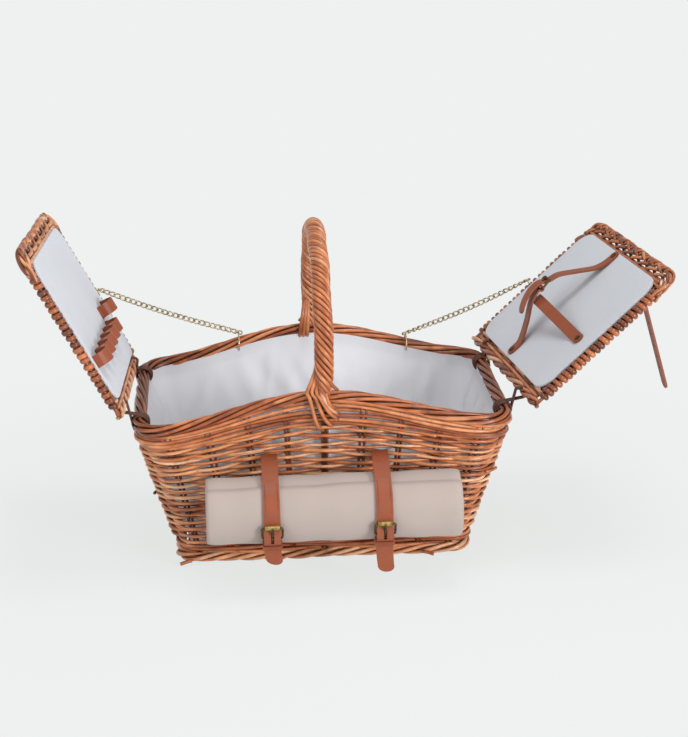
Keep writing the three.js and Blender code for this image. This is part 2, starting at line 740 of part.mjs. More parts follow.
function buildLid(name, pose, sign) {
  const place = lidMatrix(pose, sign, pose.opened);
  const rodPath = lidFace(lidRodRadius, lidCorner - lidRodRadius).map((p) => point(p.x, p.y, 0));
  add(`${name}_lid_frame`, ring(rodPath, lidRodRadius, 8, alongZ), willow, place);
  const notches = hingePlaces.map((y) => {
    const reach = hingeNotch(pose, sign, y);
    return block(2 * reach, 2 * hingeWire + 12, 60, 0, sign * (y - pose.hinge[1]), 0);
  });
  const backSide = sign * backRod;
  notches.push(block(2 * chainRingWire + 3, 40, 40, chainLidPlace, backSide, 0));
  const panel = layer(lidFace(2 * lidRodRadius + gap, lidCorner - 2 * lidRodRadius), -lidPanelHalf, lidPanelHalf);
  const weave = shapeOf(solid(panel).intersect(solid(lidRelief())));
  add(`${name}_lid_weave`, cut(weave, notches), willow, place);
  const lining = layer(lidFace(lidLiningInset, lidLiningCorner), liningLow, liningFace);
  add(`${name}_lid_lining`, cut(lining, notches), cloth, place);
  return place;
}

const rivet = (x, y, low, height) => skin(
  [[rivetRadius, low], [rivetRadius, low + height * 0.5], [rivetRadius * 0.6, low + height]].map(([r, z]) => (
    round(r, 12).map((q) => point(x + q.x, y + q.y, z))
  )), false);

const leftLid = buildLid('left', leftLidPose, -1);
const rightLid = buildLid('right', rightLidPose, 1);

// Cutlery strap of the left lid, with its loops counted from the front edge

const strapLine = strapLow + leather / 2;

function loopedStrap(loops, ends) {
  const path = [flat(lidHalfWidth - ends[0], strapLine)];
  loops.forEach((fromFront) => {
    for (let i = 0; i <= 10; i += 1) {
      const t = radians(180 * (i / 10));
      const y = lidHalfWidth - fromFront + (cutleryLoopWidth / 2) * Math.cos(t);
      path.push(flat(y, strapLine + cutleryLoopHeight * Math.sin(t) ** 0.8));
    }
  });
  path.push(flat(lidHalfWidth - ends[1], strapLine));
  return bandOutline(path, leather);
}

const strapEnds = cutleryLoopWidth / 2 + 8;
const lastLoop = cutleryLoops[cutleryLoops.length - 1];
const cutleryOutline = loopedStrap(cutleryLoops, [cutleryLoops[0] - cutleryLoopWidth / 2 - 1, lastLoop + strapEnds]);
add('cutlery_strap', slab(cutleryOutline, cutleryStrapWidth, sideFrame(cutleryStrapPlace)), tan, leftLid);
const loneOutline = loopedStrap([loneLoopFromFront], [loneLoopFromFront - strapEnds, loneLoopFromFront + strapEnds]);
add('cutlery_lone_loop', slab(loneOutline, cutleryStrapWidth, sideFrame(loneLoopPlace)), tan, leftLid);

// Plate harness of the right lid

const buckleAt = flat(104, plateStandoff);
const plateEye = barRadius + gap + leather;
const lowerPath = flowing([flat(18, strapLine), flat(30, strapLine), flat(40, strapLine + 1.4),
  flat(62, strapLine + 15), flat(84, buckleAt.y - 6), flat(buckleAt.x - 3, buckleAt.y)], 28);
const lowerStrip = slab(bandOutline(lowerPath, leather), plateStrapWidth, lengthFrame(plateStrapLine));
const plateEyeBody = slab(arc(buckleAt, plateEye, 0, 345, 23), plateStrapWidth, lengthFrame(plateStrapLine));
const plateEyeHole = slab(arc(buckleAt, barRadius + gap, 0, 330, 11), 30, lengthFrame(plateStrapLine));
const plateSlotWidth = prongWidth + 1.4;
const plateBackSlot = block(12, plateSlotWidth, 12, buckleAt.x, plateStrapLine, buckleAt.y);
add('plate_strap_lower', cut(joined([lowerStrip, plateEyeBody]), [plateEyeHole, plateBackSlot]), tan, rightLid);

const plateBar = flat(buckleAt.x + 15, buckleAt.y + 2.4);
const overPlateEye = buckleAt.y + plateEye + gap + leather / 2;
const underPlateBar = plateBar.y - barRadius - gap - leather / 2;
const upperPath = flowing([flat(64, overPlateEye - 14), flat(76, overPlateEye - 6), flat(90, overPlateEye - 0.4),
  flat(buckleAt.x - 2, overPlateEye + 0.8), flat(buckleAt.x + 5, overPlateEye - 0.8),
  flat(plateBar.x, underPlateBar), flat(plateBar.x + 14, underPlateBar - 4), flat(152, strapLine + 20),
  flat(172, strapLine + 6), flat(plateTop - 24, strapLine + 1.4), flat(plateTop - 13, strapLine),
  flat(plateTop, strapLine)], 48);
const upperStrip = slab(bandOutline(upperPath, leather), plateStrapWidth, lengthFrame(plateStrapLine));
const plateProngSlot = block(11, plateSlotWidth, 14, buckleAt.x + 6.5, plateStrapLine, overPlateEye - 3);
add('plate_strap_upper', cut(upperStrip, [plateProngSlot]), tan, rightLid);

const sideMeets = 92;
const lowerAt = lowerPath.reduce((best, p) => (
  Math.abs(p.x - sideMeets) < Math.abs(best.x - sideMeets) ? p : best));
const sideTop = lowerAt.y - leather - 5;
const sidePath = flowing([flat(-110, strapLine), flat(-97, strapLine), flat(-85, strapLine + 1.6),
  flat(-62, strapLine + 10), flat(-30, sideTop - 8), flat(-6, sideTop), flat(plateStrapLine + 6, sideTop)], 28);
const sideFrameAt = frameOf(alongY, alongZ, alongX, sideMeets, 0, 0);
add('plate_strap_side', slab(bandOutline(sidePath, leather), plateStrapWidth, sideFrameAt), tan, rightLid);

const plateHalf = plateStrapWidth / 2 + gap + barRadius + 0.4;
const plateCorners = [[buckleAt, -1], [buckleAt, 1], [plateBar, 1], [plateBar, -1]];
const plateFrame = plateCorners.flatMap(([p, s], i) => {
  const inward = 1.6;
  const ends = [point(p.x + (i < 2 ? inward : -inward), plateStrapLine + s * plateHalf, p.y),
    point(p.x, plateStrapLine + s * (plateHalf - inward), p.y)];
  return i === 0 || i === 2 ? ends : ends.reverse();
});
add('plate_buckle', ring(plateFrame, barRadius, 8, alongZ), brass, rightLid);

const plateHook = barRadius + gap + prongThickness / 2;
const plateRest = flat(plateBar.x + 1, plateBar.y + barRadius + gap + prongThickness / 2);
const plateProngPath = arc(buckleAt, plateHook, -30, -270, 10).concat([plateRest]);
add('plate_prong', slab(bandOutline(plateProngPath, prongThickness), prongWidth, lengthFrame(plateStrapLine)),
  brass, rightLid);

[['plate_rivet_lower', 25, plateStrapLine], ['plate_rivet_upper', plateTop - 7, plateStrapLine],
  ['plate_rivet_side', sideMeets, -103]].forEach(([name, x, y]) => {
  add(name, rivet(x, y, strapLow + leather + gap, rivetHeight), brass, rightLid);
});

// Closure strap on the outside of the right lid and its mate on the left lid

const outerFace = -lidPanelHalf - gap - leather / 2;
const outerFrame = frameOf(alongX, alongZ, alongY.clone().negate(), 0, 0, 0);
const edgeRise = -lidRodRadius - gap - leather / 2;
const bend = flat(lidLength - lidRodRadius, edgeRise);
const tabPath = flowing([flat(lidLength - 62, outerFace), flat(lidLength - 36, outerFace),
  flat(lidLength - 18, mix(outerFace, edgeRise, 0.8)), flat(bend.x - 2.4, edgeRise)], 12);
add('closure_tab', slab(bandOutline(tabPath, leather), closureStrapWidth, outerFrame), tan, rightLid);

const rivetTurn = new THREE.Matrix4().makeRotationX(Math.PI);
const outerRivet = (x) => rivet(x, 0, lidPanelHalf + 2 * gap + leather, rivetHeight).applyMatrix4(rivetTurn);
add('closure_rivet', outerRivet(lidLength - 48), brass, rightLid);

const hangAngle = radians(-closureHang);
const hangWay = flat(Math.cos(hangAngle), Math.sin(hangAngle));
const strapEnd = Array.from({ length: 9 }, (_, i) => radians(-90 + (180 * i) / 8)).map((t) => flat(
  closureStrapLength - closureStrapWidth / 2 + (closureStrapWidth / 2) * Math.cos(t),
  (closureStrapWidth / 2) * Math.sin(t)));
const strapFace = [flat(2.4, closureStrapWidth / 2), flat(2.4, -closureStrapWidth / 2), ...strapEnd];
const punched = [0, 1, 2, 3, 4].map((i) => (
  arc(flat(closureStrapLength - 30 - 16 * i, 0), 1.8, 0, 315, 7)));
const hangFrame = frameOf(point(hangWay.x, 0, hangWay.y), alongY, point(-hangWay.y, 0, hangWay.x), bend.x, 0, bend.y);
add('closure_strap', slab(strapFace, leather, hangFrame, punched), tan, rightLid);

const claspBar = flat(lidLength - 34, outerFace - 1.5);
const claspEye = barRadius + gap + leather;
const claspRaise = -lidPanelHalf - gap - claspEye;
const claspCentre = flat(claspBar.x, claspRaise);
const claspPath = flowing([flat(lidLength - 100, outerFace), flat(lidLength - 70, outerFace),
  flat(lidLength - 48, mix(outerFace, claspRaise, 0.6)), flat(claspCentre.x - 3, claspRaise)], 12);
const claspStrip = slab(bandOutline(claspPath, leather), closureStrapWidth, outerFrame);
const claspEyeBody = slab(arc(claspCentre, claspEye, 0, 345, 23), closureStrapWidth, outerFrame);
const claspHole = slab(arc(claspCentre, barRadius + gap, 0, 330, 11), 30, outerFrame);
const claspSlot = block(12, plateSlotWidth, 14, claspCentre.x, 0, claspCentre.y);
add('clasp_strap', cut(joined([claspStrip, claspEyeBody]), [claspHole, claspSlot]), tan, leftLid);
add('clasp_rivet', outerRivet(lidLength - 86), brass, leftLid);

const claspHalf = closureStrapWidth / 2 + gap + barRadius + 0.4;
const claspFar = claspCentre.x + 18;
const claspLoop = [[claspCentre.x, -1], [claspCentre.x, 1], [claspFar, 1], [claspFar, -1]].flatMap(([x, s], i) => {
  const inward = 1.6;
  const ends = [point(x + (i < 2 ? inward : -inward), s * claspHalf, claspRaise),
    point(x, s * (claspHalf - inward), claspRaise)];
  return i === 0 || i === 2 ? ends : ends.reverse();
});
add('clasp_buckle', ring(claspLoop, barRadius, 8, alongZ), brass, leftLid);

const claspRest = flat(claspFar + 1, claspRaise - barRadius - gap - prongThickness / 2);
const claspProngPath = arc(claspCentre, plateHook, 30, 270, 10).concat([claspRest]);
add('clasp_prong', slab(bandOutline(claspProngPath, prongThickness), prongWidth, outerFrame), brass, leftLid);

// Chains from the rings on the back rim to the rings on the lids, with touching links that turn on the way

// Flat strip of links with an eye in each, joined at their necks
function linkStrip(links, pitch) {
  const half = pitch / 2;
  const neck = chainHalfWidth - chainWire;
  const eyeLength = half - chainWire;
  const eyeWidth = neck - chainWire;
  const edge = [[-1, -neck], [-0.5, -chainHalfWidth], [0.5, -chainHalfWidth], [1, -neck],
    [1, neck], [0.5, chainHalfWidth], [-0.5, chainHalfWidth], [-1, neck]].map(([u, v]) => flat(u * half, v));
  const eye = [[1, 0], [0, -1], [-1, 0], [0, 1]].map(([u, v]) => flat(u * eyeLength, v * eyeWidth));
  const corners = edge.concat(eye);
  const top = THREE.ShapeUtils.triangulateShape(edge, [eye])
    .map((t) => (THREE.ShapeUtils.area(t.map((k) => corners[k])) > 0 ? t : t.slice().reverse()));
  const loop = (first, count) => Array.from({ length: count }, (_, i) => [first + i, first + ((i + 1) % count)]);
  const eyeWalls = loop(edge.length, eye.length);
  const edgeWalls = loop(0, edge.length);
  const positions = [];
  const faces = [];
  for (let i = 0; i <= links; i += 1) {
    const start = positions.length / 3;
    const under = start + corners.length;
    [chainWire, -chainWire].forEach((z) => corners.forEach((p) => positions.push(i * pitch + p.x, p.y, z)));
    top.forEach(([a, b, c]) => faces.push(start + a, start + b, start + c, under + a, under + c, under + b));
    const open = edgeWalls.filter((_, k) => (k !== 3 || i === links) && (k !== 7 || i === 0));
    open.concat(eyeWalls).forEach(([a, b]) => {
      faces.push(start + a, under + a, under + b, start + a, under + b, start + b);
    });
  }
  return mergeVertices(outward(positions, faces));
}

function chain(from, to, firstNormal, lastNormal) {
  const way = to.clone().sub(from);
  const length = way.length();
  way.normalize();
  const links = Math.round(length / chainPitch);
  const strip = linkStrip(links, length / links);
  const upright = (normal) => normal.clone().addScaledVector(way, -normal.dot(way)).normalize();
  const first = upright(firstNormal);
  const last = upright(lastNormal);
  const turn = Math.atan2(way.dot(first.clone().cross(last)), first.dot(last));
  const spots = strip.attributes.position;
  for (let i = 0; i < spots.count; i += 1) {
    const normal = first.clone().applyAxisAngle(way, (turn * spots.getX(i)) / length);
    const side = normal.clone().cross(way);
    const place = from.clone().addScaledVector(way, spots.getX(i));
    place.addScaledVector(side, spots.getY(i)).addScaledVector(normal, spots.getZ(i));
    spots.setXYZ(i, place.x, place.y, place.z);
  }
  return strip;
}

[['left', -1, leftLid], ['right', 1, rightLid]].forEach(([name, sign, place], i) => {
  const x = chainRimPlaces[i];
  const onRim = point(x, backRim, rimHeight(x) + chainRingSlack + rimRingRadius);
  const lidMiddle = point(chainLidPlace, sign * backRod, 0).applyMatrix4(place);
  const lidAxis = alongX.clone().transformDirection(place);
  const pull = onRim.clone().sub(lidMiddle);
  const outWay = pull.addScaledVector(lidAxis, -pull.dot(lidAxis)).normalize();
  const ringSide = lidAxis.clone().cross(outWay);
  const ringMiddle = lidMiddle.clone().addScaledVector(outWay, chainRingSlack);
  const circle = arc(flat(0, 0), lidRingRadius, 0, 337.5, 15)
    .map((q) => ringMiddle.clone().addScaledVector(outWay, q.x).addScaledVector(ringSide, q.y));
  add(`${name}_chain_lid_ring`, ring(circle, chainRingWire, 5, lidAxis), bronze);
  const onLid = ringMiddle.clone().addScaledVector(outWay, lidRingRadius);
  add(`${name}_chain`, chain(onRim, onLid, alongY, ringSide), bronze);
});

export default basket;
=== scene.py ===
"""Looks of the picnic basket: woven willow, cloth linings, leather straps, brass and chain, in metres."""

import json
import math

import bpy
import numpy as np
from mathutils import Matrix, Vector


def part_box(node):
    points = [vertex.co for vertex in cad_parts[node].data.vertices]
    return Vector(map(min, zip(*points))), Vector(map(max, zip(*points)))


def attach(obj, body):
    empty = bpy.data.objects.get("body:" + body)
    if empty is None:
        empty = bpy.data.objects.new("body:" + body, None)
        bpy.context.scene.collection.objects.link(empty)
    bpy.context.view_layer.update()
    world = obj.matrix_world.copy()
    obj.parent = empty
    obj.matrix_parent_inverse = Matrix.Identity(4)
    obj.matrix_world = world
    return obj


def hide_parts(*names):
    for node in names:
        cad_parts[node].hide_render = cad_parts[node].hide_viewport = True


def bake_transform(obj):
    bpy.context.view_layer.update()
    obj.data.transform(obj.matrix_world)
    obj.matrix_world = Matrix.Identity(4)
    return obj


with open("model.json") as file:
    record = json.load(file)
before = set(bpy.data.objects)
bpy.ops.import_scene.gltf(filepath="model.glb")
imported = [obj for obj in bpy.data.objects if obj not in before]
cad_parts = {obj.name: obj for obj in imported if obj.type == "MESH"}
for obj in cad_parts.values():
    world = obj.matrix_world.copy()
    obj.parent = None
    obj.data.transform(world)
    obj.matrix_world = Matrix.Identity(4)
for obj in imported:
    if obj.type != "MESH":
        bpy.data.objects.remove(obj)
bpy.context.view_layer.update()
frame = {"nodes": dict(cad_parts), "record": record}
rng = np.random.default_rng(11)
upward = np.array([0.0, 0.0, 1.0])
joints = {joint["name"]: joint for joint in frame["record"]["behaviour"]["joints"]}

# Basket body
rim_half = (0.224, 0.141)
rim_corner = 0.035
rim_radius = 0.009
rim_end_height = 0.192
rim_arch = 0.040
wall_low_half = (0.1805, 0.0915)
wall_low_corner = 0.0235
wall_low_height = 0.0143
wall_high_half = (0.2265, 0.1435)
wall_high_corner = 0.0375
wall_top_drop = 0.0093
stake_count = 28
stakes_at_places = (0, 8, 9, 13, 14, 22, 23, 27, 28)

# Weave of the wall: rows are shares of its height, and lengths along it are counted in stakes.
# Each wale band has its lowest and highest share, its rods and how far out it lies.
stake_radius = 0.0018
stake_pair = 0.055
weaver_radius = 0.0023
weaver_lengths = (10, 9, 9)
weave_depth = 0.0040
steps_per_stake = 6
row_count = 31
row_shares = (0.085, 0.87)
row_spread = 0.16
row_waves = (0.016, 0.009)
lap_rise = 0.008
lap_sink = 0.0012
wale_rod = 0.0025
wale_swing = 0.0030
wale_wave = 0.006
wales = ((0.89, 1.02, 6, 0.0016), (0.0, 0.06, 3, 0.0010))
cut_end_count = 36
cut_end_shares = (0.12, 0.96)
cut_end_run = 0.35
cut_end_rise = 0.02
cut_end_out = (0.0030, 0.0082)

# Rim and foot: ropes of a few rods, at a distance from their middle line.
# A cut end of the foot has its place and its run along X.
rim_lay = {"strands": 6, "radius": 0.0057, "rod": 0.0025, "turns": 6, "patches": 9, "uneven": 0.13}
rim_core = 0.0040
rim_dark_ends = (0.16, 0.215)
foot_lay = {"strands": 4, "radius": 0.0042, "rod": 0.0026, "turns": 9, "patches": 8, "uneven": 0.14}
foot_core = 0.0025
foot_inset = 0.0065
foot_height = 0.0078
foot_cut_ends = ((-0.168, -0.098, -0.014), (0.124, -0.099, 0.013), (-0.052, -0.099, -0.012))
foot_end_path = ((0.0, 0.0, 0.0060), (0.5, 0.0030, 0.0056), (1.0, 0.0052, 0.0040))
foot_end_rod = 0.0024
rod_swell = 0.05

# Base
base_height = 0.0072
base_inset = 0.002
base_stick = 0.0026
base_stick_count = 10
base_stick_inset = 0.012
base_stick_pair = 0.003
base_rod = 0.0025
base_row_inset = 0.004
base_row_pitch = 0.0056
base_swing = 0.0030

# Handle
handle_radius = 0.012
handle_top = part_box("handle_wrap")[1].z
handle_neck = 0.55
handle_neck_length = 0.03
bow_foot_share = 0.45
bow_lean = 0.105
bow_shoulder = 0.088
strand_count = 8
strand_radius = 0.0027
strand_pitches = (0.075, 0.050)

# Feet of the handle: where rods cross the rim, where they end and how far down, and their paths, with
# heights over the rim's top
fan_rod = 0.0025
fan_clearance = 0.0022
fan_tops = (-0.021, -0.0155, -0.010, -0.0045, 0.001)
fan_ends = ((-0.007, 0.049), (0.005, 0.044), (0.013, 0.036), (0.011, 0.027), (0.008, 0.020))
fan_above = ((0.35, 0.001, -0.1425, 0.034), (0.75, 0.0, -0.1485, 0.012))
fan_over = ((0.0, 0.002, -0.001), (0.22, -0.0006, -0.009))
fan_down = ((0.62, 0.0088), (1.0, 0.0062))
fan_bend_drop = 0.009
fan_tuck = 0.006
fan_sink = -0.001
fan_inside = (-0.0145, -0.0098, -0.0052)
fan_inside_clearance = 0.0015
fan_inside_above = ((0.55, -0.1400, 0.034), (0.8, -0.1312, 0.013))
fan_inside_down = ((1.0, 0.0, -0.005), (1.06, -0.0010, -0.012), (1.08, -0.007, -0.0185))
fan_stub = ((-0.006, -0.1545, 0.030), (0.004, -0.1545, 0.016), (0.0105, -0.1505, 0.006),
            (0.0155, -0.1480, 0.0005))
fan_stub_rod = (0.0027, 0.0022)

# Lining: waves have a number, a size and a sharpness
lining_shares = (0.97, 0.02)
lining_waves = ((5, 0.3, 1), (8, 0.3, 2), (13, 0.4, 5), (21, 0.3, 7))
crease_count = 60
lining_gap = 0.0078
lining_slack = 0.0046
lining_fold = 0.0054
lining_under_rim = 0.0015
lining_rim_drop = 0.003
lining_floor = 0.0150
lining_floor_inset = (0.06, 0.11)

# Lids, from the hinge rod to the free edge, opened by degrees
lid_length = 0.222
lid_half_width = 0.150
lid_corner = 0.022
lid_edge = 0.006
lid_opened = {"left": 118.8, "right": 139.2}
lid_sticks = np.linspace(-0.126, 0.126, 7)
lid_stick = 0.0020
lid_stick_pair = 0.003
lid_stick_ends = (0.001, 0.212)
lid_rod = 0.0025
lid_rows = (0.014, 0.206)
lid_row_pitch = 0.0056
lid_row_inset = 0.004
lid_swing = 0.0026
lid_swing_inset = 0.016
lid_wave = 0.0008

# Lid borders: rods round the side sticks, a rope on the hinge line and an open plait along the free edge.
# Wraps have a number and a rod, a plait its swing, its rod and the length of its wave.
side_stick = 0.0024
wrap_rows = {"left": (25, 0.0037), "right": (26, 0.0036)}
wrap_places = (0.012, 0.203)
wrap_slant = 0.45
wrap_jitter = 0.0008
wrap_clearance = 0.0006
wrap_insets = (0.020, 0.012, 0.006)
wrap_rise = (-0.0008, 0.0004, 0.0024)
wrap_fall = (-0.0030, -0.0032, -0.0028)
hinge_lay = {"strands": 3, "radius": 0.0030, "rod": 0.0030, "turns": 3.0, "patches": 3}
hinge_rods = ((0.0072, 0.0022), (0.0112, -0.0018))
hinge_rod = 0.0024
border_run = 0.012
plaits = {"left": (0.0072, 0.0028, 0.130), "right": (0.0070, 0.0023, 0.086)}
plait_reach = 0.0050
plait_lift = 0.0034
plait_wave = 0.0012
plait_ends = 0.04
edge_lay = {"strands": 3, "radius": 0.0023, "rod": 0.0023, "patches": 6, "uneven": 0.2}
edge_pitch = 0.034
edge_overlap = 0.0012
edge_wave = 0.0010
inner_rods = ((0.0130, 0.0030), (0.0095, -0.0010))
inner_rod = 0.0025
inner_run = 0.010

# Lid panels: how far each row of the edge grows out and how high it lies
panel_inset = 0.014
panel_corner = 0.024
panel_edge = ((0.0, 0.0043), (0.0, 0.0063), (-0.0005, 0.0068), (-0.0016, 0.0070))
panel_ripple = 0.0004

# Lashings of the hinges
lash_cane = 0.0012
lash_width = 0.0084
lash_turns = 4
lash_cross = 0.0012
lash_on_rim = 0.0112
lash_on_rod = 0.0076
rim_lash_width = 0.0150
rim_lash_turns = 8
rim_lash_radius = 0.0096

# Plate straps, with paths along the lid and up from its middle; the eye has a place, a height and a radius
plate_strap_half = 0.0075
plate_strap_thick = 0.0024
plate_strap_line = 0.0100
plate_side_place = 0.0920
plate_eye = (0.104, 0.046, 0.0030)
plate_lower_path = ((0.018, 0.0085), (0.030, 0.0085), (0.040, 0.0099), (0.062, 0.0235), (0.084, 0.040),
                    (0.101, 0.046))
plate_upper_path = ((0.064, 0.0377), (0.076, 0.0457), (0.090, 0.0513), (0.102, 0.0525), (0.109, 0.0509),
                    (0.119, 0.0454), (0.133, 0.0414), (0.152, 0.0285), (0.172, 0.0145), (0.184, 0.0099),
                    (0.195, 0.0085), (0.208, 0.0085))
plate_side_path = ((-0.110, 0.0085), (-0.097, 0.0085), (-0.085, 0.0101), (-0.062, 0.0185), (-0.030, 0.0278),
                   (-0.006, 0.0358), (0.016, 0.0358))
leather_round = 0.0006

# Chains
chain_pitch = 0.0074
chain_wire = 0.0011
chain_sag = 0.004
chain_end = 0.0005
link_wire = 0.85 * chain_wire
link_overlap = 0.9 * chain_wire
link_half_width = 0.0029
link_twist = 0.0022
link_end_turn = math.radians(78)

# Blanket and its straps; waves are a size, a number and a start, and the edge sways by degrees
blanket_radius = 0.0425
blanket_length = 0.306
blanket_layer = 0.0033
blanket_cloth_half = 0.0013
blanket_core = 0.006
blanket_edge = math.radians(60)
blanket_end_round = 0.0015
blanket_end_run = 0.008
blanket_pinch = 0.014
blanket_pinch_width = 0.016
blanket_slack = 0.0012
blanket_least = 0.003
blanket_sag = ((0.0004, 60, 0), (0.0003, 131, 1))
blanket_edge_sway = ((1.8, 23, 0.8), (0.9, 57, 0))
blanket_end_step = 0.0012
strap_places = (-0.069, 0.066)
strap_width = 0.020
strap_over_blanket = 0.0027
stitch_inset = 0.0026
stitch_pitch = 0.0034
stitch_share = 0.68
stitch_thread = 0.0004
stitched = (math.radians(8), math.radians(60))

# Stage and lamps, each with its place, size and power
floor_radius = 14.0
floor_drop = 0.0005
floor_colour = (238, 241, 240)
shadow_reach = (0.32, 0.9)
shadow_share = 0.82
world_strength = 0.58
lamp_aim = (0, 0, 0.2)
lamps = {
    "key": ((2.0, -2.5, 0.9), 0.9, 58), "fill": ((-2.1, -1.9, 1.3), 1.6, 14),
    "top": ((0.3, -0.2, 2.8), 1.2, 22),
}

# Photograph
image_size = (688, 737)
camera_target = Vector((0.0338, 0.0, 0.2204))
camera_azimuth = math.radians(-3.93)
camera_elevation = math.radians(17.885)
camera_roll = math.radians(-0.82)
camera_distance = 2.5306
camera_pixels = 1984.94


def mix(a, b, t):
    return a + (b - a) * t


def smooth(low, high, value):
    t = np.clip((np.asarray(value, float) - low) / (high - low), 0, 1)
    return t * t * (3 - 2 * t)


def srgb(red, green, blue):
    """A colour written as it looks on screen, 0 to 255, as the linear values that nodes use."""
    parts = [c / 255 for c in (red, green, blue)]
    return tuple(c / 12.92 if c <= 0.04045 else ((c + 0.055) / 1.055) ** 2.4 for c in parts) + (1.0,)


# Paths and meshes


def unit(v):
    return v / np.maximum(np.linalg.norm(v, axis=-1, keepdims=True), 1e-12)


def points_of(x, y, z):
    """Points from their coordinates, of which a single number holds for all."""
    return np.stack(np.broadcast_arrays(x, y, z), -1)


def raised(flat, z):
    return points_of(flat[:, 0], flat[:, 1], z)


def run_along(points):
    """Length of a path up to each of its points."""
    return np.concatenate([[0], np.cumsum(np.linalg.norm(np.diff(points, axis=0), axis=1))])


def spots_on(points, spots):
    """Points of a path at lengths along it."""
    run = run_along(points)
    return np.stack([np.interp(spots, run, column) for column in points.T], 1)


def resampled(points, count):
    """Smooth curve through a few points, as that many points spaced evenly along it."""
    p = np.asarray(points, float)
    ends = np.vstack([2 * p[0] - p[1], p, 2 * p[-1] - p[-2]])
    t = np.linspace(0, 1, 24, endpoint=False)[:, None]
    rows = []
    for a, b, c, d in zip(ends, ends[1:], ends[2:], ends[3:]):
        rows.append(0.5 * (2 * b + (c - a) * t + (2 * a - 5 * b + 4 * c - d) * t**2
                           + (3 * b - a - 3 * c + d) * t**3))
    line = np.vstack(rows + [p[-1:]])
    return spots_on(line, np.linspace(0, run_along(line)[-1], count))


def frames_along(path, closed):
    """Directions across a path, carried along it without twist."""
    along = np.roll(path, -1, 0) - np.roll(path, 1, 0) if closed else np.gradient(path, axis=0)
    along = unit(along)
    start = upward if abs(along[0][2]) < 0.8 else np.array([1.0, 0.0, 0.0])
    first = np.zeros_like(path)
    first[0] = unit(start - along[0] * (start @ along[0]))
    for i in range(1, len(path)):
        carried = first[i - 1] - along[i] * (first[i - 1] @ along[i])
        first[i] = carried / np.linalg.norm(carried)
    second = np.cross(along, first)
    if closed:
        back = first[-1] - along[0] * (first[-1] @ along[0])
        slip = math.atan2(back @ second[0], back @ first[0])
        turn = -slip * np.arange(len(path))[:, None] / len(path)
        first, second = (first * np.cos(turn) + second * np.sin(turn),
                         second * np.cos(turn) - first * np.sin(turn))
    return first, second


def grid(rows, count, closed=False, around=True):
    """Faces between rows of points; closed joins the last row to the first, around the ends of each row."""
    i, j = np.meshgrid(np.arange(rows - (not closed)), np.arange(count - (not around)), indexing="ij")
    here, after, k = i * count, (i + 1) % rows * count, (j + 1) % count
    return np.stack([here + j, here + k, after + k, after + j], -1).reshape(-1, 4)


def tones(count, stretches):
    """Tones along a border rod, which is several rods laid end to end."""
    cuts = np.sort(rng.integers(0, count, stretches - 1))
    return rng.uniform(0.1, 1, stretches)[np.searchsorted(cuts, np.arange(count), side="right")]


class Strands:
    """Rods gathered into one mesh, each with its own tone, a grain that runs along it and a painted highlight
    and painted shade round it.
    """

    grain_girth = 0.004

    def __init__(self):
        self.points, self.faces, self.shade, self.grain, self.painted_light = [], [], [], [], []
        self.count = 0

    def rod(self, path, radius, sides=6, closed=False, shade=None, painted_light_way=None):
        """A round rod along a path, painted paler on the side its given lit direction points to and darker on
        the far side: a painted highlight and painted shade.
        """
        path = np.asarray(path, float)
        radius = np.broadcast_to(np.asarray(radius, float), (len(path),))
        first, second = frames_along(path, closed)
        turn = np.linspace(0, 2 * math.pi, sides, endpoint=False)
        ring = (first[:, None] * np.cos(turn)[None, :, None]
                + second[:, None] * np.sin(turn)[None, :, None])
        verts = (path[:, None] + ring * radius[:, None, None]).reshape(-1, 3)
        self.faces += (grid(len(path), sides, closed) + self.count).tolist()
        if not closed:
            last = (len(path) - 1) * sides
            self.faces.append([self.count + s for s in reversed(range(sides))])
            self.faces.append([self.count + last + s for s in range(sides)])
        along = np.repeat(run_along(path) + rng.uniform(0, 50), sides)
        around = np.tile(turn, len(path))
        girth = self.grain_girth
        self.grain.append(points_of(along, np.cos(around) * girth, np.sin(around) * girth))
        # How far each point of the ring looks towards the lit direction, for the painted highlight and
        # painted shade.
        painted_light_facing = np.full(ring.shape[:2], 0.5) if painted_light_way is None else (ring * unit(painted_light_way)[:, None]).sum(-1)
        self.painted_light.append(painted_light_facing.ravel())
        tone = rng.uniform(0, 1) if shade is None else shade
        self.shade.append(np.repeat(np.broadcast_to(tone, (len(path),)), sides))
        self.points.append(verts)
        self.count += len(verts)

    def piece(self, name, body, slot, *nodes, material=None):
        mesh = smooth_mesh(name, np.vstack(self.points), self.faces)
        for key, values in (("shade", self.shade), ("painted_light", self.painted_light)):
            values = np.concatenate(values).astype(np.float32)
            mesh.attributes.new(key, "FLOAT", "POINT").data.foreach_set("value", values)
        grain = np.vstack(self.grain).astype(np.float32).ravel()
        mesh.attributes.new("grain", "FLOAT_VECTOR", "POINT").data.foreach_set("vector", grain)
        return placed(name, mesh, body, slot, *nodes, material=material)


def smooth_mesh(name, points, faces):
    mesh = bpy.data.meshes.new(name)
    mesh.from_pydata(points.tolist(), [], faces)
    mesh.polygons.foreach_set("use_smooth", np.ones(len(mesh.polygons), bool))
    return mesh


def placed(name, mesh, body, slot, *nodes, material=None):
    """An object with the finish of its slot, if no other is given."""
    piece = bpy.data.objects.new(name, mesh)
    bpy.context.scene.collection.objects.link(piece)
    mesh.materials.append(material or finishes[slot])
    if nodes:
        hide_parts(*nodes)
    if body:
        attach(piece, body)
    return piece


def surface(name, points, body, slot, *nodes, material=None, around=False):
    """A smooth sheet over rows of points; one that runs around joins the ends of rows and closes the last."""
    rows, count = points.shape[:2]
    faces = grid(rows, count, False, around).tolist()
    if around:
        faces.append(list(range((rows - 1) * count, rows * count)))
    mesh = smooth_mesh(name, points.reshape(-1, 3), faces)
    return placed(name, mesh, body, slot, *nodes, material=material)


# Materials


def fill(tree, made, inputs):
    """Gives the inputs of a node their values, or links them to outputs of other nodes."""
    for key, value in inputs.items():
        if isinstance(value, bpy.types.NodeSocket):
            tree.links.new(value, made.inputs[key])
        else:
            made.inputs[key].default_value = value
    return made


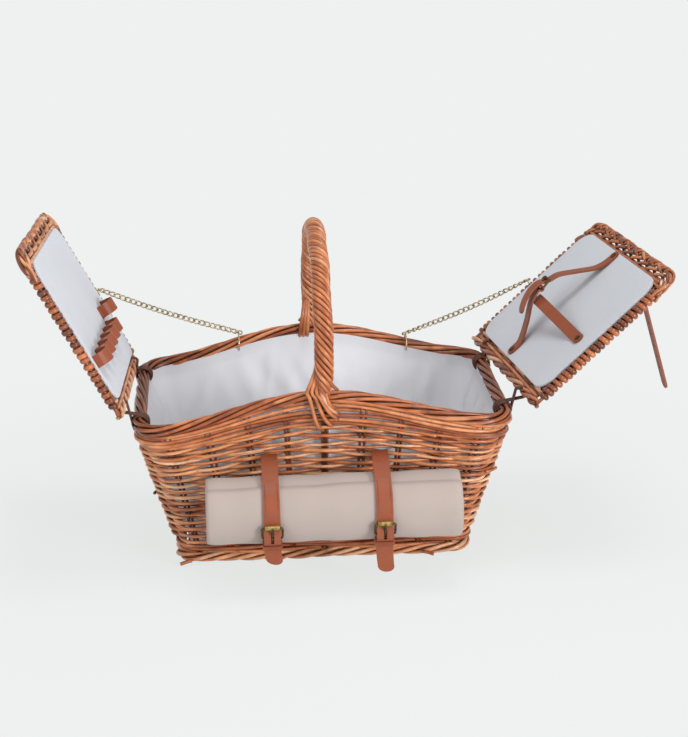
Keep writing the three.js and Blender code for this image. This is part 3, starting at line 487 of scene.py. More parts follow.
def node(tree, kind, inputs=None, **settings):
    made = tree.nodes.new(kind)
    for key, value in settings.items():
        setattr(made, key, value)
    return fill(tree, made, inputs or {})


def new_material(name):
    material = bpy.data.materials.new(name)
    material.use_nodes = True
    tree = material.node_tree
    return material, tree, tree.nodes["Principled BSDF"]


def ramp(tree, source, stops):
    made = node(tree, "ShaderNodeValToRGB", {"Fac": source})
    elements = made.color_ramp.elements
    while len(elements) < len(stops):
        elements.new(0.5)
    for element, (place, colour) in zip(elements, stops):
        element.position = place
        element.color = colour
    return made.outputs["Color"]


def multiplied(tree, first, second):
    inputs = {0: 1.0, 6: first, 7: second}
    return node(tree, "ShaderNodeMix", inputs, data_type="RGBA", blend_type="MULTIPLY").outputs[2]


def mixed(tree, share, first, second):
    """Shows a mix of two shaders, with a share of the second."""
    made = node(tree, "ShaderNodeMixShader", {0: share, 1: first.outputs[0], 2: second.outputs[0]})
    fill(tree, tree.nodes["Material Output"], {"Surface": made.outputs[0]})


def bump(tree, shader, height, strength, distance):
    made = node(tree, "ShaderNodeBump", {"Strength": strength, "Distance": distance, "Height": height})
    fill(tree, shader, {"Normal": made.outputs["Normal"]})


def noise(tree, vector, scale, detail=3.0, roughness=0.55):
    inputs = {"Vector": vector, "Scale": scale, "Detail": detail, "Roughness": roughness}
    return node(tree, "ShaderNodeTexNoise", inputs).outputs["Fac"]


def object_place(tree):
    return node(tree, "ShaderNodeTexCoord").outputs["Object"]


def grey(low, high):
    return [(0.0, (low, low, low, 1)), (1.0, (high, high, high, 1))]


def willow_material(name):
    """Varnished willow: each rod has its own tone, with streaks and darker flecks along it, and a painted
    highlight and painted shade across it.
    """
    material, tree, shader = new_material(name)
    shade, grain, painted_light = [node(tree, "ShaderNodeAttribute", attribute_name=key).outputs
                           for key in ("shade", "grain", "painted_light")]
    stops = [(0.0, (104, 52, 28)), (0.25, (158, 86, 48)), (0.5, (194, 114, 68)),
             (0.75, (215, 145, 98)), (1.0, (236, 186, 146))]
    colour = ramp(tree, shade["Fac"], [(place, srgb(*rgb)) for place, rgb in stops])
    stretch = node(tree, "ShaderNodeMapping", {"Scale": (0.12, 1.6, 1.6), "Vector": grain["Vector"]})
    streaks = noise(tree, stretch.outputs["Vector"], 260, 4)
    colour = multiplied(tree, colour, ramp(tree, streaks, grey(0.6, 1.25)))
    patches = noise(tree, grain["Vector"], 52, 3)
    colour = multiplied(tree, colour, ramp(tree, patches, [
        (0.25, (0.42, 0.33, 0.28, 1)), (0.45, (0.88, 0.82, 0.78, 1)), (0.68, (1.24, 1.25, 1.26, 1))]))
    # Painted highlight and painted shade: each rod is paler on its lit side and darker towards its far side
    # and the gaps.
    lift = node(tree, "ShaderNodeMapRange", {"From Min": -1.0, "Value": painted_light["Fac"]})
    colour = multiplied(tree, colour, ramp(tree, lift.outputs[0], [
        (0.0, (0.22, 0.16, 0.13, 1)), (0.45, (0.42, 0.33, 0.28, 1)), (0.75, (0.98, 0.96, 0.95, 1)),
        (1.0, (1.2, 1.22, 1.24, 1))]))
    fill(tree, shader, {"Base Color": colour, "Roughness": ramp(tree, streaks, grey(0.24, 0.44)),
                        "Coat Weight": 0.25, "Coat Roughness": 0.24})
    bump(tree, shader, streaks, 0.35, 0.0006)
    return material


def cloth_material(name, colour, threads, relief, sheen, thin=0.0):
    """Woven cloth with fine threads and faint clouding; thin is the share of light that comes through."""
    material, tree, shader = new_material(name)
    place = object_place(tree)
    clouds = noise(tree, place, 9, 3)
    dull = tuple(c * 0.94 for c in colour[:3]) + (1,)
    tint = ramp(tree, clouds, [(0.3, dull), (0.7, colour)])
    fuzz = noise(tree, place, threads, 2, 0.7)
    tint = multiplied(tree, tint, ramp(tree, fuzz, grey(0.96, 1.03)))
    fill(tree, shader, {"Base Color": tint, "Roughness": 0.92, "Sheen Weight": sheen})
    bump(tree, shader, fuzz, relief, 0.0003)
    if thin:
        mixed(tree, thin, shader, node(tree, "ShaderNodeBsdfTranslucent", {"Color": tint}))
    return material


def leather_material(name, colour):
    """Smooth tan leather with a fine grain, cloudy tone and a low polish."""
    material, tree, shader = new_material(name)
    place = object_place(tree)
    clouds = noise(tree, place, 55, 4)
    base = node(tree, "ShaderNodeRGB").outputs[0]
    base.default_value = colour
    tint = multiplied(tree, base, ramp(tree, clouds, grey(0.8, 1.12)))
    cells = node(tree, "ShaderNodeTexVoronoi", {"Scale": 900.0, "Vector": place}).outputs["Distance"]
    tint = multiplied(tree, tint, ramp(tree, cells, grey(1.04, 0.9)))
    fill(tree, shader, {"Base Color": tint, "Roughness": ramp(tree, clouds, grey(0.42, 0.6))})
    bump(tree, shader, cells, 0.25, 0.0004)
    return material


def metal_material(name, colour, dark, roughness):
    """Aged metal, bright on the whole with darker clouds of tarnish."""
    material, tree, shader = new_material(name)
    clouds = noise(tree, object_place(tree), 180, 4)
    fill(tree, shader, {"Base Color": ramp(tree, clouds, [(0.32, dark), (0.58, colour)]), "Metallic": 1.0,
                        "Roughness": ramp(tree, clouds, grey(roughness + 0.2, roughness))})
    bump(tree, shader, clouds, 0.12, 0.0003)
    return material


willow = willow_material("willow")
lining_cloth = cloth_material("lining_cloth", srgb(214, 216, 223), 1400.0, 0.12, 0.1)
bag_cloth = cloth_material("bag_cloth", srgb(245, 246, 251), 1400.0, 0.12, 0.1, 0.22)
blanket_cloth = cloth_material("blanket_cloth", srgb(184, 168, 161), 1100.0, 0.25, 0.2)
leather = leather_material("tan_leather", srgb(156, 79, 47))
leather_edge = leather_material("burnished_leather_edge", srgb(112, 56, 40))
thread = leather_material("waxed_thread", srgb(108, 54, 38))
binding = leather_material("dark_binding", srgb(92, 52, 38))
dark_brass = metal_material("dark_brass", srgb(122, 96, 60), srgb(70, 52, 36), 0.4)
brass = metal_material("brass", srgb(205, 180, 112), srgb(120, 98, 58), 0.28)
bronze = metal_material("chain_bronze", srgb(222, 204, 174), srgb(140, 122, 94), 0.36)
finishes = {
    "willow": willow, "leather": leather, "brass": brass, "chain_bronze": bronze, "hinge_wire": binding,
    "lining_cloth": lining_cloth, "blanket_wool": blanket_cloth,
}


# Basket outline


def outline(half, corner, place):
    """Points and outward directions of a rounded rectangle: place 0 to 1 is its front, 1 to 2 a corner."""
    place = np.asarray(place, float) % 8
    part = place.astype(int)
    t = place - part
    side = part // 2
    x, y = half[0] - corner, half[1] - corner
    starts = np.array([[-x, -half[1]], [half[0], -y], [x, half[1]], [-half[0], y]])
    ends = np.array([[x, -half[1]], [half[0], y], [-x, half[1]], [-half[0], -y]])
    centres = np.array([[x, -y], [x, y], [-x, y], [-x, -y]])
    angle = (side - 1 + np.where(part % 2, t, 0)) * math.pi / 2
    out = np.stack([np.cos(angle), np.sin(angle)], -1)
    straight = mix(starts[side], ends[side], t[..., None])
    return np.where((part % 2 == 1)[..., None], centres[side] + corner * out, straight), out


def rim_height(x):
    across = np.minimum(np.abs(x) / rim_half[0], 1)
    return rim_end_height + rim_arch * (1 + np.cos(math.pi * across)) / 2


def wall_point(place, share, shift):
    """Points of the wall at a share of its height, shifted out from the middle of its thickness."""
    low, out = outline(wall_low_half, wall_low_corner, place)
    high, _ = outline(wall_high_half, wall_high_corner, place)
    above = rim_height(outline(rim_half, rim_corner, place)[0][..., 0]) - wall_top_drop
    share = np.asarray(share, float)
    flat = mix(low, high, share[..., None]) + out * np.asarray(shift, float)[..., None]
    return np.concatenate([flat, mix(wall_low_height, above, share)[..., None]], -1)


def place_of(stake):
    """Place on the outline of a stake, counted from the left end of the front."""
    return np.interp(np.asarray(stake, float) % stake_count, stakes_at_places, np.arange(9))


def wobble(spots, size, waves=3):
    """Slow unevenness along a rod."""
    total = np.zeros_like(spots, float)
    for _ in range(waves):
        total += np.sin(spots * rng.uniform(0.25, 1.1) + rng.uniform(0, 6.3)) * rng.uniform(0.3, 1)
    return total * size / waves


# Wall


def spread(place, share):
    """Share of the height of a row that runs steeper than the rim, so that rows open up in the middle."""
    x = outline(rim_half, rim_corner, place)[0][..., 0]
    middle = (rim_height(x) - rim_end_height) / rim_arch
    return share - row_spread * (2 * middle - 1) * share * (1 - share)


def wall_painted_light_way(place):
    """The way the wall looks out at each place, a little upwards: its rods get their painted highlight on
    that side and painted shade away from it.
    """
    out = outline(wall_high_half, wall_high_corner, place)[1]
    return raised(out, 0.35)


def build_wall():
    rods = Strands()
    heights = np.linspace(0, 1, 14)
    for stake in range(stake_count):
        for side in (-stake_pair, stake_pair):
            place = place_of(stake + side + rng.uniform(-0.02, 0.02))
            rods.rod(wall_point(place, heights, 0.0), stake_radius, shade=rng.uniform(0.0, 0.2))
    for row in range(row_count):
        share = mix(*row_shares, (row / (row_count - 1)) ** 0.95)
        start = rng.uniform(0, stake_count)
        for length in weaver_lengths:
            k = start + np.arange(-1.2, length + 1.2, 1 / steps_per_stake)
            lap = smooth(0.4, -1.0, k - start) - smooth(length - 0.4, length + 1.0, k - start)
            rise = wobble(k, row_waves[0]) + wobble(2.6 * k, row_waves[1]) + lap_rise * lap
            swing = weave_depth * np.cos(math.pi * (k + row)) - lap_sink * np.abs(lap)
            place = place_of(k)
            path = wall_point(place, spread(place, share + rise), swing)
            thick = weaver_radius * rng.uniform(0.78, 1.14) * (1 + wobble(k, 0.12))
            # Weavers are painted darker where they pass behind the stakes: painted shade.
            tone = rng.uniform(0.26, 1.04) - 0.3 * smooth(0.0, -weave_depth, swing)
            rods.rod(path, thick * (1 - 0.25 * np.abs(lap)), sides=8, shade=tone, painted_light_way=wall_painted_light_way(place))
            start += length
    k = np.arange(0, stake_count, 1 / steps_per_stake)
    even = np.sin(math.pi * k / stake_count) ** 2
    place = place_of(k)
    for low, high, count, out in wales:
        for row in range(count):
            swing = out - wale_swing * np.cos(2 * math.pi * (k + row) / 4)
            share = mix(low, high, row / (count - 1)) + wobble(k, wale_wave) * even
            rods.rod(wall_point(place, spread(place, share), swing), wale_rod * rng.uniform(0.85, 1.05),
                     sides=8, closed=True, shade=0.85 * tones(len(k), 9), painted_light_way=wall_painted_light_way(place))
    for share in np.linspace(*cut_end_shares, cut_end_count):
        place = place_of(rng.uniform(0, stake_count) + np.linspace(0, cut_end_run, 6))
        rise = share + np.linspace(0, rng.uniform(-cut_end_rise, cut_end_rise), 6)
        path = wall_point(place, spread(place, rise), np.linspace(*cut_end_out, 6))
        rods.rod(path, weaver_radius * rng.uniform(0.8, 1.0), sides=8, shade=rng.uniform(0.1, 0.6),
                 painted_light_way=wall_painted_light_way(place))
    rods.piece("wall_rods", "basket", "willow", "wall_weave")


# Rim, foot and base


def rope(rods, line, first, second, strands, radius, rod, turns, patches, closed=False, uneven=0.0,
         calm=(0.5, 0.0)):
    """Rods twisted round a line; first and second are the directions across it.

    calm is a tone and how far the tones of the rods are drawn to it.
    """
    count = len(line)
    share = np.arange(count) / (count if closed else count - 1)
    for i in range(strands):
        angle = 2 * math.pi * (share * turns + i / strands)
        reach = radius * (1 + uneven * np.sin(2 * math.pi * (3 * share + i / strands)))
        offset = first * (reach * np.cos(angle))[:, None] + second * (reach * np.sin(angle))[:, None]
        swell = sum(np.sin(2 * math.pi * (n * share + rng.uniform(0, 1))) for n in (5, 11, 23))
        # Each rod gets its painted highlight on the side away from the middle line and painted shade towards
        # it.
        rods.rod(line + offset, rod * (1 + rod_swell * swell), sides=8, closed=closed,
                 shade=mix(tones(count, patches), *calm), painted_light_way=offset)


def ring_line(half, corner, height, count):
    """Even points round a rounded rectangle, with the directions out."""
    dense = np.linspace(0, 8, 4001)
    run = run_along(outline(half, corner, dense)[0])
    place = np.interp(np.arange(count) / count * run[-1], run, dense)
    flat, out = outline(half, corner, place)
    return raised(flat, height(flat[:, 0])), raised(out, 0)


def build_rim():
    rods = Strands()
    line, out = ring_line(rim_half, rim_corner, rim_height, 320)
    ends = smooth(*rim_dark_ends, np.abs(line[:, 0]))
    rope(rods, line, out, upward, closed=True, calm=(0.14 - 0.12 * ends, 0.34 + 0.4 * ends), **rim_lay)
    # A near-black core fills the grooves between the rods with painted shade.
    rods.rod(line, rim_core, closed=True, shade=0.0)
    rods.piece("rim_rope", "basket", "willow", "rim_border")


def build_foot():
    rods = Strands()
    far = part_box("foot_border")[1]
    half = (far.x - foot_inset, far.y - foot_inset)
    line, out = ring_line(half, wall_low_corner, lambda x: foot_height, 260)
    rope(rods, line, out, upward, closed=True, calm=(0.9, 0.6), **foot_lay)
    for x, y, way in foot_cut_ends:
        path = [[x + t * way, y - out_by, z] for t, out_by, z in foot_end_path]
        rods.rod(resampled(path, 10), foot_end_rod, sides=8, shade=0.5)
    # A dark core fills the grooves between the rods with painted shade.
    rods.rod(line, foot_core, closed=True, shade=0.1)
    rods.piece("foot_rope", "basket", "willow", "foot_border")


def build_base():
    rods = Strands()
    low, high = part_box("base_panel")
    sticks = np.linspace(low.x + base_stick_inset, high.x - base_stick_inset, base_stick_count)
    y = np.linspace(low.y + base_inset, high.y - base_inset, 8)
    for x in sticks:
        for side in (-base_stick_pair, base_stick_pair):
            rods.rod(points_of(x + side, y, base_height), base_stick, shade=0.2)
    pitch = sticks[1] - sticks[0]
    x = np.linspace(low.x + base_inset, high.x - base_inset, 64)
    for row, y in enumerate(np.arange(low.y + base_row_inset, high.y - base_inset, base_row_pitch)):
        z = base_height + base_swing * np.cos(math.pi * ((x - sticks[0]) / pitch + row))
        rods.rod(points_of(x, y, z), base_rod)
    rods.piece("base_rods", "basket", "willow", "base_panel")


# Handle


def handle_line(count):
    """The bow's centre line from the front rim to the back, with the directions across it."""
    foot = wall_point(0.5, bow_foot_share, 0.0)
    rim = np.array([0.0, -wall_high_half[1], float(rim_height(0.0))])
    lean = unit(rim - foot)
    top = handle_top - handle_radius
    knots = np.array([rim, rim + lean * bow_lean, [0, -bow_shoulder, top], [0, 0, top]])
    t = np.linspace(0.0, 1, 200)[:, None]
    half = ((1 - t) ** 3 * knots[0] + 3 * (1 - t) ** 2 * t * knots[1]
            + 3 * (1 - t) * t**2 * knots[2] + t**3 * knots[3])
    whole = np.vstack([half, (half * [1, -1, 1])[::-1][1:]])
    line = resampled(whole[::6], count)
    along = unit(np.gradient(line, axis=0))
    across = np.array([1.0, 0.0, 0.0])
    return line, across, np.cross(across, along)


def build_handle():
    rods = Strands()
    line, across, out = handle_line(170)
    length = run_along(line)[-1]
    run = np.linspace(0, length, len(line))
    drawn = mix(handle_neck, 1, smooth(0, handle_neck_length, np.minimum(run, length - run)))
    pitch = mix(*strand_pitches, np.sin(math.pi * run / length))
    wound = np.cumsum(run[1] / pitch)
    turns = wound / np.maximum(run / length, 1e-6)
    rope(rods, line, across * drawn[:, None], out * drawn[:, None], strand_count,
         handle_radius - strand_radius, strand_radius, turns, 3, uneven=0.06, calm=(0.6, 0.4))
    # A near-black core fills the grooves between the strands with painted shade.
    rods.rod(line, (handle_radius - 2 * strand_radius) * drawn, sides=8, shade=0.05)
    rods.piece("handle_rope", "basket", "willow", "handle_wrap")


def build_fan(name, turn, node_name):
    """Rods that leave the handle, lie over the rim and run down the wall into the weave."""
    rods = Strands()
    spin = np.array(Matrix.Rotation(turn, 3, "Z"))
    peak = float(rim_height(0.0)) + rim_radius
    front = -(rim_half[1] + rim_radius + fan_clearance)
    inside = -(rim_half[1] - rim_radius - fan_inside_clearance)

    def on_wall(x, drop, shift):
        share = (peak - drop - wall_low_height) / (float(rim_height(x)) - wall_top_drop - wall_low_height)
        return [x, -mix(wall_low_half[1], wall_high_half[1], share) - shift, peak - drop]

    for top, (end, drop) in zip(fan_tops, fan_ends):
        path = [[t * top + shift, y, peak + z] for t, shift, y, z in fan_above]
        path += [[mix(top, end, t), front + y, peak + z] for t, y, z in fan_over]
        path += [on_wall(mix(top, end, t), mix(fan_bend_drop, drop, t), lift) for t, lift in fan_down]
        path.append(on_wall(end + fan_tuck, drop + fan_tuck, fan_sink))
        rods.rod(resampled(np.array(path) @ spin.T, 40), fan_rod, sides=8, shade=rng.uniform(0.5, 0.9),
                 painted_light_way=np.tile(spin @ [-0.25, -1, 0.3], (40, 1)))
    for x in fan_inside:
        path = [[t * x, y, peak + z] for t, y, z in fan_inside_above]
        path += [[t * x, inside + y, peak + z] for t, y, z in fan_inside_down]
        path = np.array(path) * [-1 if turn else 1, 1, 1]
        rods.rod(resampled(path @ spin.T, 24), fan_rod, sides=8, shade=rng.uniform(0.35, 0.75))
    stub = np.array(fan_stub) + [0, 0, peak]
    rods.rod(resampled(stub @ spin.T, 16), np.linspace(*fan_stub_rod, 16), sides=8, shade=0.3)
    rods.piece(name, "basket", "willow", node_name)


# Lining


def build_lining():
    """A loose bag that hangs from the rim in soft waves and finer creases, with a flat floor."""
    around, down = 480, 40
    place = place_of(np.linspace(0, stake_count, around, endpoint=False))
    share = np.linspace(*lining_shares, down)
    k = np.arange(around) / around * 2 * math.pi
    folds = np.zeros((down, around))
    for waves, size, sharp in lining_waves:
        lean = rng.uniform(-1.5, 1.5)
        phase = rng.uniform(0, 6.3)
        fold = np.sin((waves * k[None, :] + phase + lean * (1 - share[:, None]) * 4) / 2)
        folds += size * (np.abs(fold) ** sharp) * np.sin(3 * k + phase)
    for _ in range(crease_count):
        middle, lean, width = rng.uniform(0, 2 * math.pi), rng.uniform(-0.8, 0.8), rng.uniform(0.035, 0.075)
        size, stop = rng.uniform(0.15, 0.5), rng.uniform(-0.2, 0.65)
        off = (k[None, :] - middle - lean * (1 - share[:, None]) + math.pi) % (2 * math.pi) - math.pi
        ridge = np.exp(-((off / width) ** 2)) - 0.5 * np.exp(-((off / width - 1.7) ** 2))
        folds += size * ridge * smooth(stop, stop + 0.25, share)[:, None]
    depth = lining_slack + lining_fold * np.clip(folds, -0.8, 2)
    depth = depth * (0.25 + 0.75 * smooth(0.98, 0.75, share))[:, None]
    flat, out = outline(rim_half, rim_corner, place)
    under_rim = flat - out * (rim_radius - lining_under_rim)
    rows = [raised(under_rim, rim_height(flat[:, 0]) - lining_rim_drop)]
    rows += [wall_point(place, s, -lining_gap - d) for s, d in zip(share, depth)]
    last = rows[-1]
    for t in (0.35, 0.7, 1.0):
        inset = last * [1 - lining_floor_inset[0] * t, 1 - lining_floor_inset[1] * t, 1]
        inset[:, 2] = mix(last[:, 2], lining_floor, math.sin(t * math.pi / 2))
        rows.append(inset)
    floor = rows[-1]
    rows += [floor * [t, t, 1] for t in (0.75, 0.5, 0.25)]
    piece = surface("basket_lining", np.array(rows), "basket", "lining_cloth", "lining_bag",
                    material=bag_cloth, around=True)
    width = 2 * (wall_high_half[0] + wall_low_height + float(rim_height(0.0)))


# Lids


def lid_frame(side):
    """Place of an open lid: X from the hinge to the free edge, Y along the hinge, Z out of the lined face."""
    joint = joints[f"{side}_lid_hinge"]
    sign = -1 if side == "left" else 1
    turn = Matrix.Rotation(math.radians(lid_opened[side]), 4, Vector(joint["axis"]))
    flat = Matrix(((-sign, 0, 0, 0), (0, sign, 0, 0), (0, 0, -1, 0), (0, 0, 0, 1)))
    return np.array(Matrix.Translation(joint["pos_m"]) @ turn @ flat)


def laid(matrix, points):
    """Points of a lid, moved to where the lid is."""
    points = np.asarray(points, float)
    return points @ matrix[:3, :3].T + matrix[:3, 3]


def lid_painted_light_way(matrix, lift):
    """The side of a lid's rods that gets the painted highlight: in where they lie above the middle of the
    lid, out where they lie below.
    """
    return np.sign(np.where(lift == 0, 1, lift))[:, None] * matrix[:3, 2]


def build_lid_field(side, matrix):
    """The woven field of a lid, between its side sticks."""
    rods = Strands()
    edge = lid_half_width - lid_edge
    pitch = lid_sticks[1] - lid_sticks[0]
    x = np.linspace(*lid_stick_ends, 8)
    for y in lid_sticks:
        for shift in (-lid_stick_pair, lid_stick_pair):
            rods.rod(laid(matrix, points_of(x, y + shift, 0)), lid_stick, shade=0.25)
    y = np.linspace(lid_row_inset - edge, edge - lid_row_inset, 60)
    for row, x in enumerate(np.arange(*lid_rows, lid_row_pitch)):
        z = lid_swing * np.cos(math.pi * ((y - lid_sticks[0]) / pitch + row))
        z = z * smooth(edge, edge - lid_swing_inset, np.abs(y))
        path = points_of(x + wobble(y * 60, lid_wave), y, z)
        rods.rod(laid(matrix, path), lid_rod * rng.uniform(0.9, 1.1), painted_light_way=lid_painted_light_way(matrix, z))
    rods.piece(f"{side}_lid_rods", f"{side}_lid", "willow", f"{side}_lid_weave")


def side_wrap(x, end, step, radius):
    """A rod that comes from the weave, turns round the side stick of a lid and goes back a row further on."""
    edge = lid_half_width - lid_edge
    bend = lid_edge - radius + wrap_clearance
    turn = np.linspace(math.pi / 2, -math.pi / 2, 9)
    insets = np.array(wrap_insets)
    y = np.concatenate([edge - insets, edge + bend * np.cos(turn), edge - insets[::-1]])
    z = np.concatenate([wrap_rise, bend * np.sin(turn), wrap_fall])
    return resampled(points_of(x + np.linspace(0, step, len(y)), end * y, z), 26)


def border_line(count):
    """Middle of a lid's free border: from a side round a corner, along the free edge and round the other."""
    bend = lid_corner - lid_edge
    far, edge = lid_length - lid_edge, lid_half_width - lid_edge
    turn = np.linspace(-math.pi / 2, 0, 12)
    corner = np.stack([far - bend + bend * np.cos(turn), bend - edge + bend * np.sin(turn)], 1)
    half = np.vstack([[[far - bend - border_run, -edge]], corner])
    whole = np.vstack([half, (half * [1, -1])[::-1]])
    spots = np.linspace(0, run_along(whole)[-1], count)
    line = spots_on(whole, spots)
    along = unit(np.gradient(line, axis=0))
    return line, np.stack([along[:, 1], -along[:, 0]], 1), spots


def build_lid_border(side, matrix):
    """Side sticks with rods turned round them, the rope at the hinge and the open plait of the free edge."""
    rods = Strands()
    edge = lid_half_width - lid_edge
    count, radius = wrap_rows[side]
    places = np.linspace(*wrap_places, count)
    step = places[1] - places[0]
    x = np.linspace(0.0, lid_rows[1], 20)
    for end in (-1, 1):
        rods.rod(laid(matrix, points_of(x, end * edge, 0)), side_stick, shade=0.3)
        for place in places:
            path = side_wrap(place + rng.uniform(-wrap_jitter, wrap_jitter), end, wrap_slant * step, radius)
            away = (path - [0, end * edge, 0]) * [0, 1, 1] @ matrix[:3, :3].T
            rods.rod(laid(matrix, path), radius * rng.uniform(0.85, 1.08), sides=8,
                     shade=rng.uniform(0.0, 0.5), painted_light_way=away)
    y = np.linspace(-edge, edge, 90)
    rope(rods, laid(matrix, points_of(0, y, 0)), matrix[:3, 0], matrix[:3, 2], **hinge_lay)
    for x, z in hinge_rods:
        path = points_of(x + wobble(y * 40, lid_wave), y, z)
        rods.rod(laid(matrix, path[4:-4]), hinge_rod, shade=tones(82, 3))
    swing, rod, wave = plaits[side]
    line, out, run = border_line(180)
    middle = smooth(0, plait_ends, np.minimum(run, run[-1] - run))
    for i in range(3):
        angle = 2 * math.pi * (run / wave + i / 3)
        reach = plait_reach * middle + swing * np.sin(angle) + wobble(run * 60, plait_wave)
        flat = line + out * reach[:, None]
        lift = plait_lift * np.sin(2 * angle)
        rods.rod(laid(matrix, raised(flat, lift)), rod, sides=8, shade=tones(180, 6),
                 painted_light_way=lid_painted_light_way(matrix, lift))
    reach = (plait_reach + swing - edge_overlap) * middle + wobble(run * 40, edge_wave)
    flat = line + out * reach[:, None]
    across = raised(out, 0) @ matrix[:3, :3].T
    rope(rods, laid(matrix, raised(flat, 0)), across, matrix[:3, 2],
         turns=run[-1] / edge_pitch, calm=(0.45, 0.4), **edge_lay)
    far = edge - lid_corner + inner_run
    y = np.linspace(-far, far, 40)
    for inset, z in inner_rods:
        path = points_of(lid_length - inset + wobble(y * 40, lid_wave), y, z)
        rods.rod(laid(matrix, path), inner_rod, shade=rng.uniform(0.4, 0.9))
    rods.piece(f"{side}_lid_border", f"{side}_lid", "willow", f"{side}_lid_frame")


def build_lid_panel(side, matrix):
    """Cloth stretched over a thin pad on the inside of a lid."""
    low, high = panel_inset, lid_length - panel_inset
    half = ((high - low) / 2, lid_half_width - panel_inset)
    flat, out = outline(half, panel_corner, np.linspace(0, 8, 97)[:-1])
    rows = [raised(flat + out * grow, z) for grow, z in panel_edge]
    inner = len(rows)
    rows += [rows[-1] * [t, t, 1] for t in (0.92, 0.8, 0.6, 0.4, 0.2)]
    rows = np.array(rows) + [(low + high) / 2, 0, 0]
    ripple = np.sin(rows[..., 0] * 46 + 1.3 * len(side)) * np.sin(rows[..., 1] * 31) * panel_ripple
    rows[inner:, :, 2] += ripple[inner:]
    piece = surface(f"{side}_lid_panel", laid(matrix, rows), f"{side}_lid", "lining_cloth",
                    f"{side}_lid_lining", around=True)


# Lashings of the hinges


def hinge_point(side, y):
    """Where a lid's hinge line passes a place along the basket."""
    joint = joints[f"{side}_lid_hinge"]
    place, axis = np.array(joint["pos_m"]), np.array(joint["axis"])
    return place + axis * (y - place[1]) / axis[1]


def turned(centre, radius, angle, shift=0.0):
    """Points round a centre, in a plane across Y, shifted along Y."""
    x, y, z = centre
    return points_of(x + radius * np.cos(angle), y + shift, z + radius * np.sin(angle))


def build_hinge_bindings():
    """Dark cane in place of the hinge loops: wound round the rim, and crossed over to the lid's hinge rod."""
    rods = Strands()
    names = [f"{side}_hinge_loop_{end}" for side in ("left", "right") for end in ("front", "back")]
    for name in names:
        low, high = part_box(name)
        middle = (low.y + high.y) / 2
        rim = np.array([math.copysign(rim_half[0], low.x), middle, rim_end_height])
        turn = np.linspace(0, 2 * math.pi * rim_lash_turns, 14 * rim_lash_turns)
        along = np.linspace(-rim_lash_width / 2, rim_lash_width / 2, len(turn))
        rods.rod(turned(rim, rim_lash_radius, turn, along), lash_cane, shade=0.2)
        for shift in np.linspace(-lash_width / 2, lash_width / 2, lash_turns):
            rod = hinge_point(name.split("_")[0], middle + 0.6 * shift)
            way = math.atan2(rod[2] - rim[2], rod[0] - rim[0])
            near = way + np.linspace(math.pi / 2, 3 * math.pi / 2, 14)
            far = way - np.linspace(-math.pi / 2, math.pi / 2, 12)
            ring = np.vstack([turned(rim, lash_on_rim, near, shift),
                              turned(rod, lash_on_rod, far, np.linspace(-lash_cross, lash_cross, 12))])
            rods.rod(ring, lash_cane, closed=True, shade=0.2)
    rods.piece("hinge_bindings", "basket", "hinge_wire", *names)


# Plate straps


def plate_strap(name, line, across, round_ends):
    """A leather strap along a line, flat across it, with its ends round or square."""
    half = plate_strap_half
    length = run_along(line)[-1]
    bend = np.linspace(0.06, math.pi / 2, 9)[:-1]
    tip = half * (1 - np.cos(bend))
    first, last = [half * np.sin(bend) if is_round else np.full(8, half) for is_round in round_ends]
    spots = np.concatenate([tip, np.linspace(half, length - half, 60), (length - tip)[::-1]])
    reach = np.concatenate([first, np.full(60, half), last[::-1]])
    middle = spots_on(line, spots)
    normal = unit(np.cross(np.gradient(middle, axis=0), across)) * plate_strap_thick / 2
    wide = reach[:, None] * across
    corners = np.stack([middle - wide - normal, middle + wide - normal, middle + wide + normal,
                        middle - wide + normal], 1)
    end = 4 * (len(spots) - 1)
    faces = grid(len(spots), 4).tolist() + [[3, 2, 1, 0], [end, end + 1, end + 2, end + 3]]
    mesh = bpy.data.meshes.new(f"plate_band_{name}")
    mesh.from_pydata(corners.reshape(-1, 3).tolist(), [], faces)
    soften(placed(f"plate_band_{name}", mesh, "right_lid", "leather", f"plate_strap_{name}"))


def build_plate_straps(matrix):
    """Two straps along the lid that meet at a buckle, with an eye round its bar, and one from the side."""
    x, z, radius = plate_eye
    eye = [(x + radius * math.cos(a), z + radius * math.sin(a)) for a in np.radians(np.arange(225, 480, 30))]
    lower = laid(matrix, [[x, plate_strap_line, z] for x, z in [*plate_lower_path, *eye]])
    upper = laid(matrix, [[x, plate_strap_line, z] for x, z in plate_upper_path])
    side = laid(matrix, [[plate_side_place, y, z] for y, z in plate_side_path])
    plate_strap("lower", resampled(lower, 200), matrix[:3, 1], (True, False))
    plate_strap("upper", resampled(upper, 160), matrix[:3, 1], (True, True))
    plate_strap("side", resampled(side, 120), matrix[:3, 0], (True, False))


# Chains


def ends_of(name):
    """The two far ends of a CAD chain, the one on the rim first."""
    points = np.array([v.co for v in frame["nodes"][name].data.vertices])
    off = points - points.mean(0)
    run = off @ np.linalg.svd(off, full_matrices=False)[2][0]
    ends = [points[run > run.max() - chain_end].mean(0), points[run < run.min() + chain_end].mean(0)]
    return sorted(ends, key=lambda p: p[2])


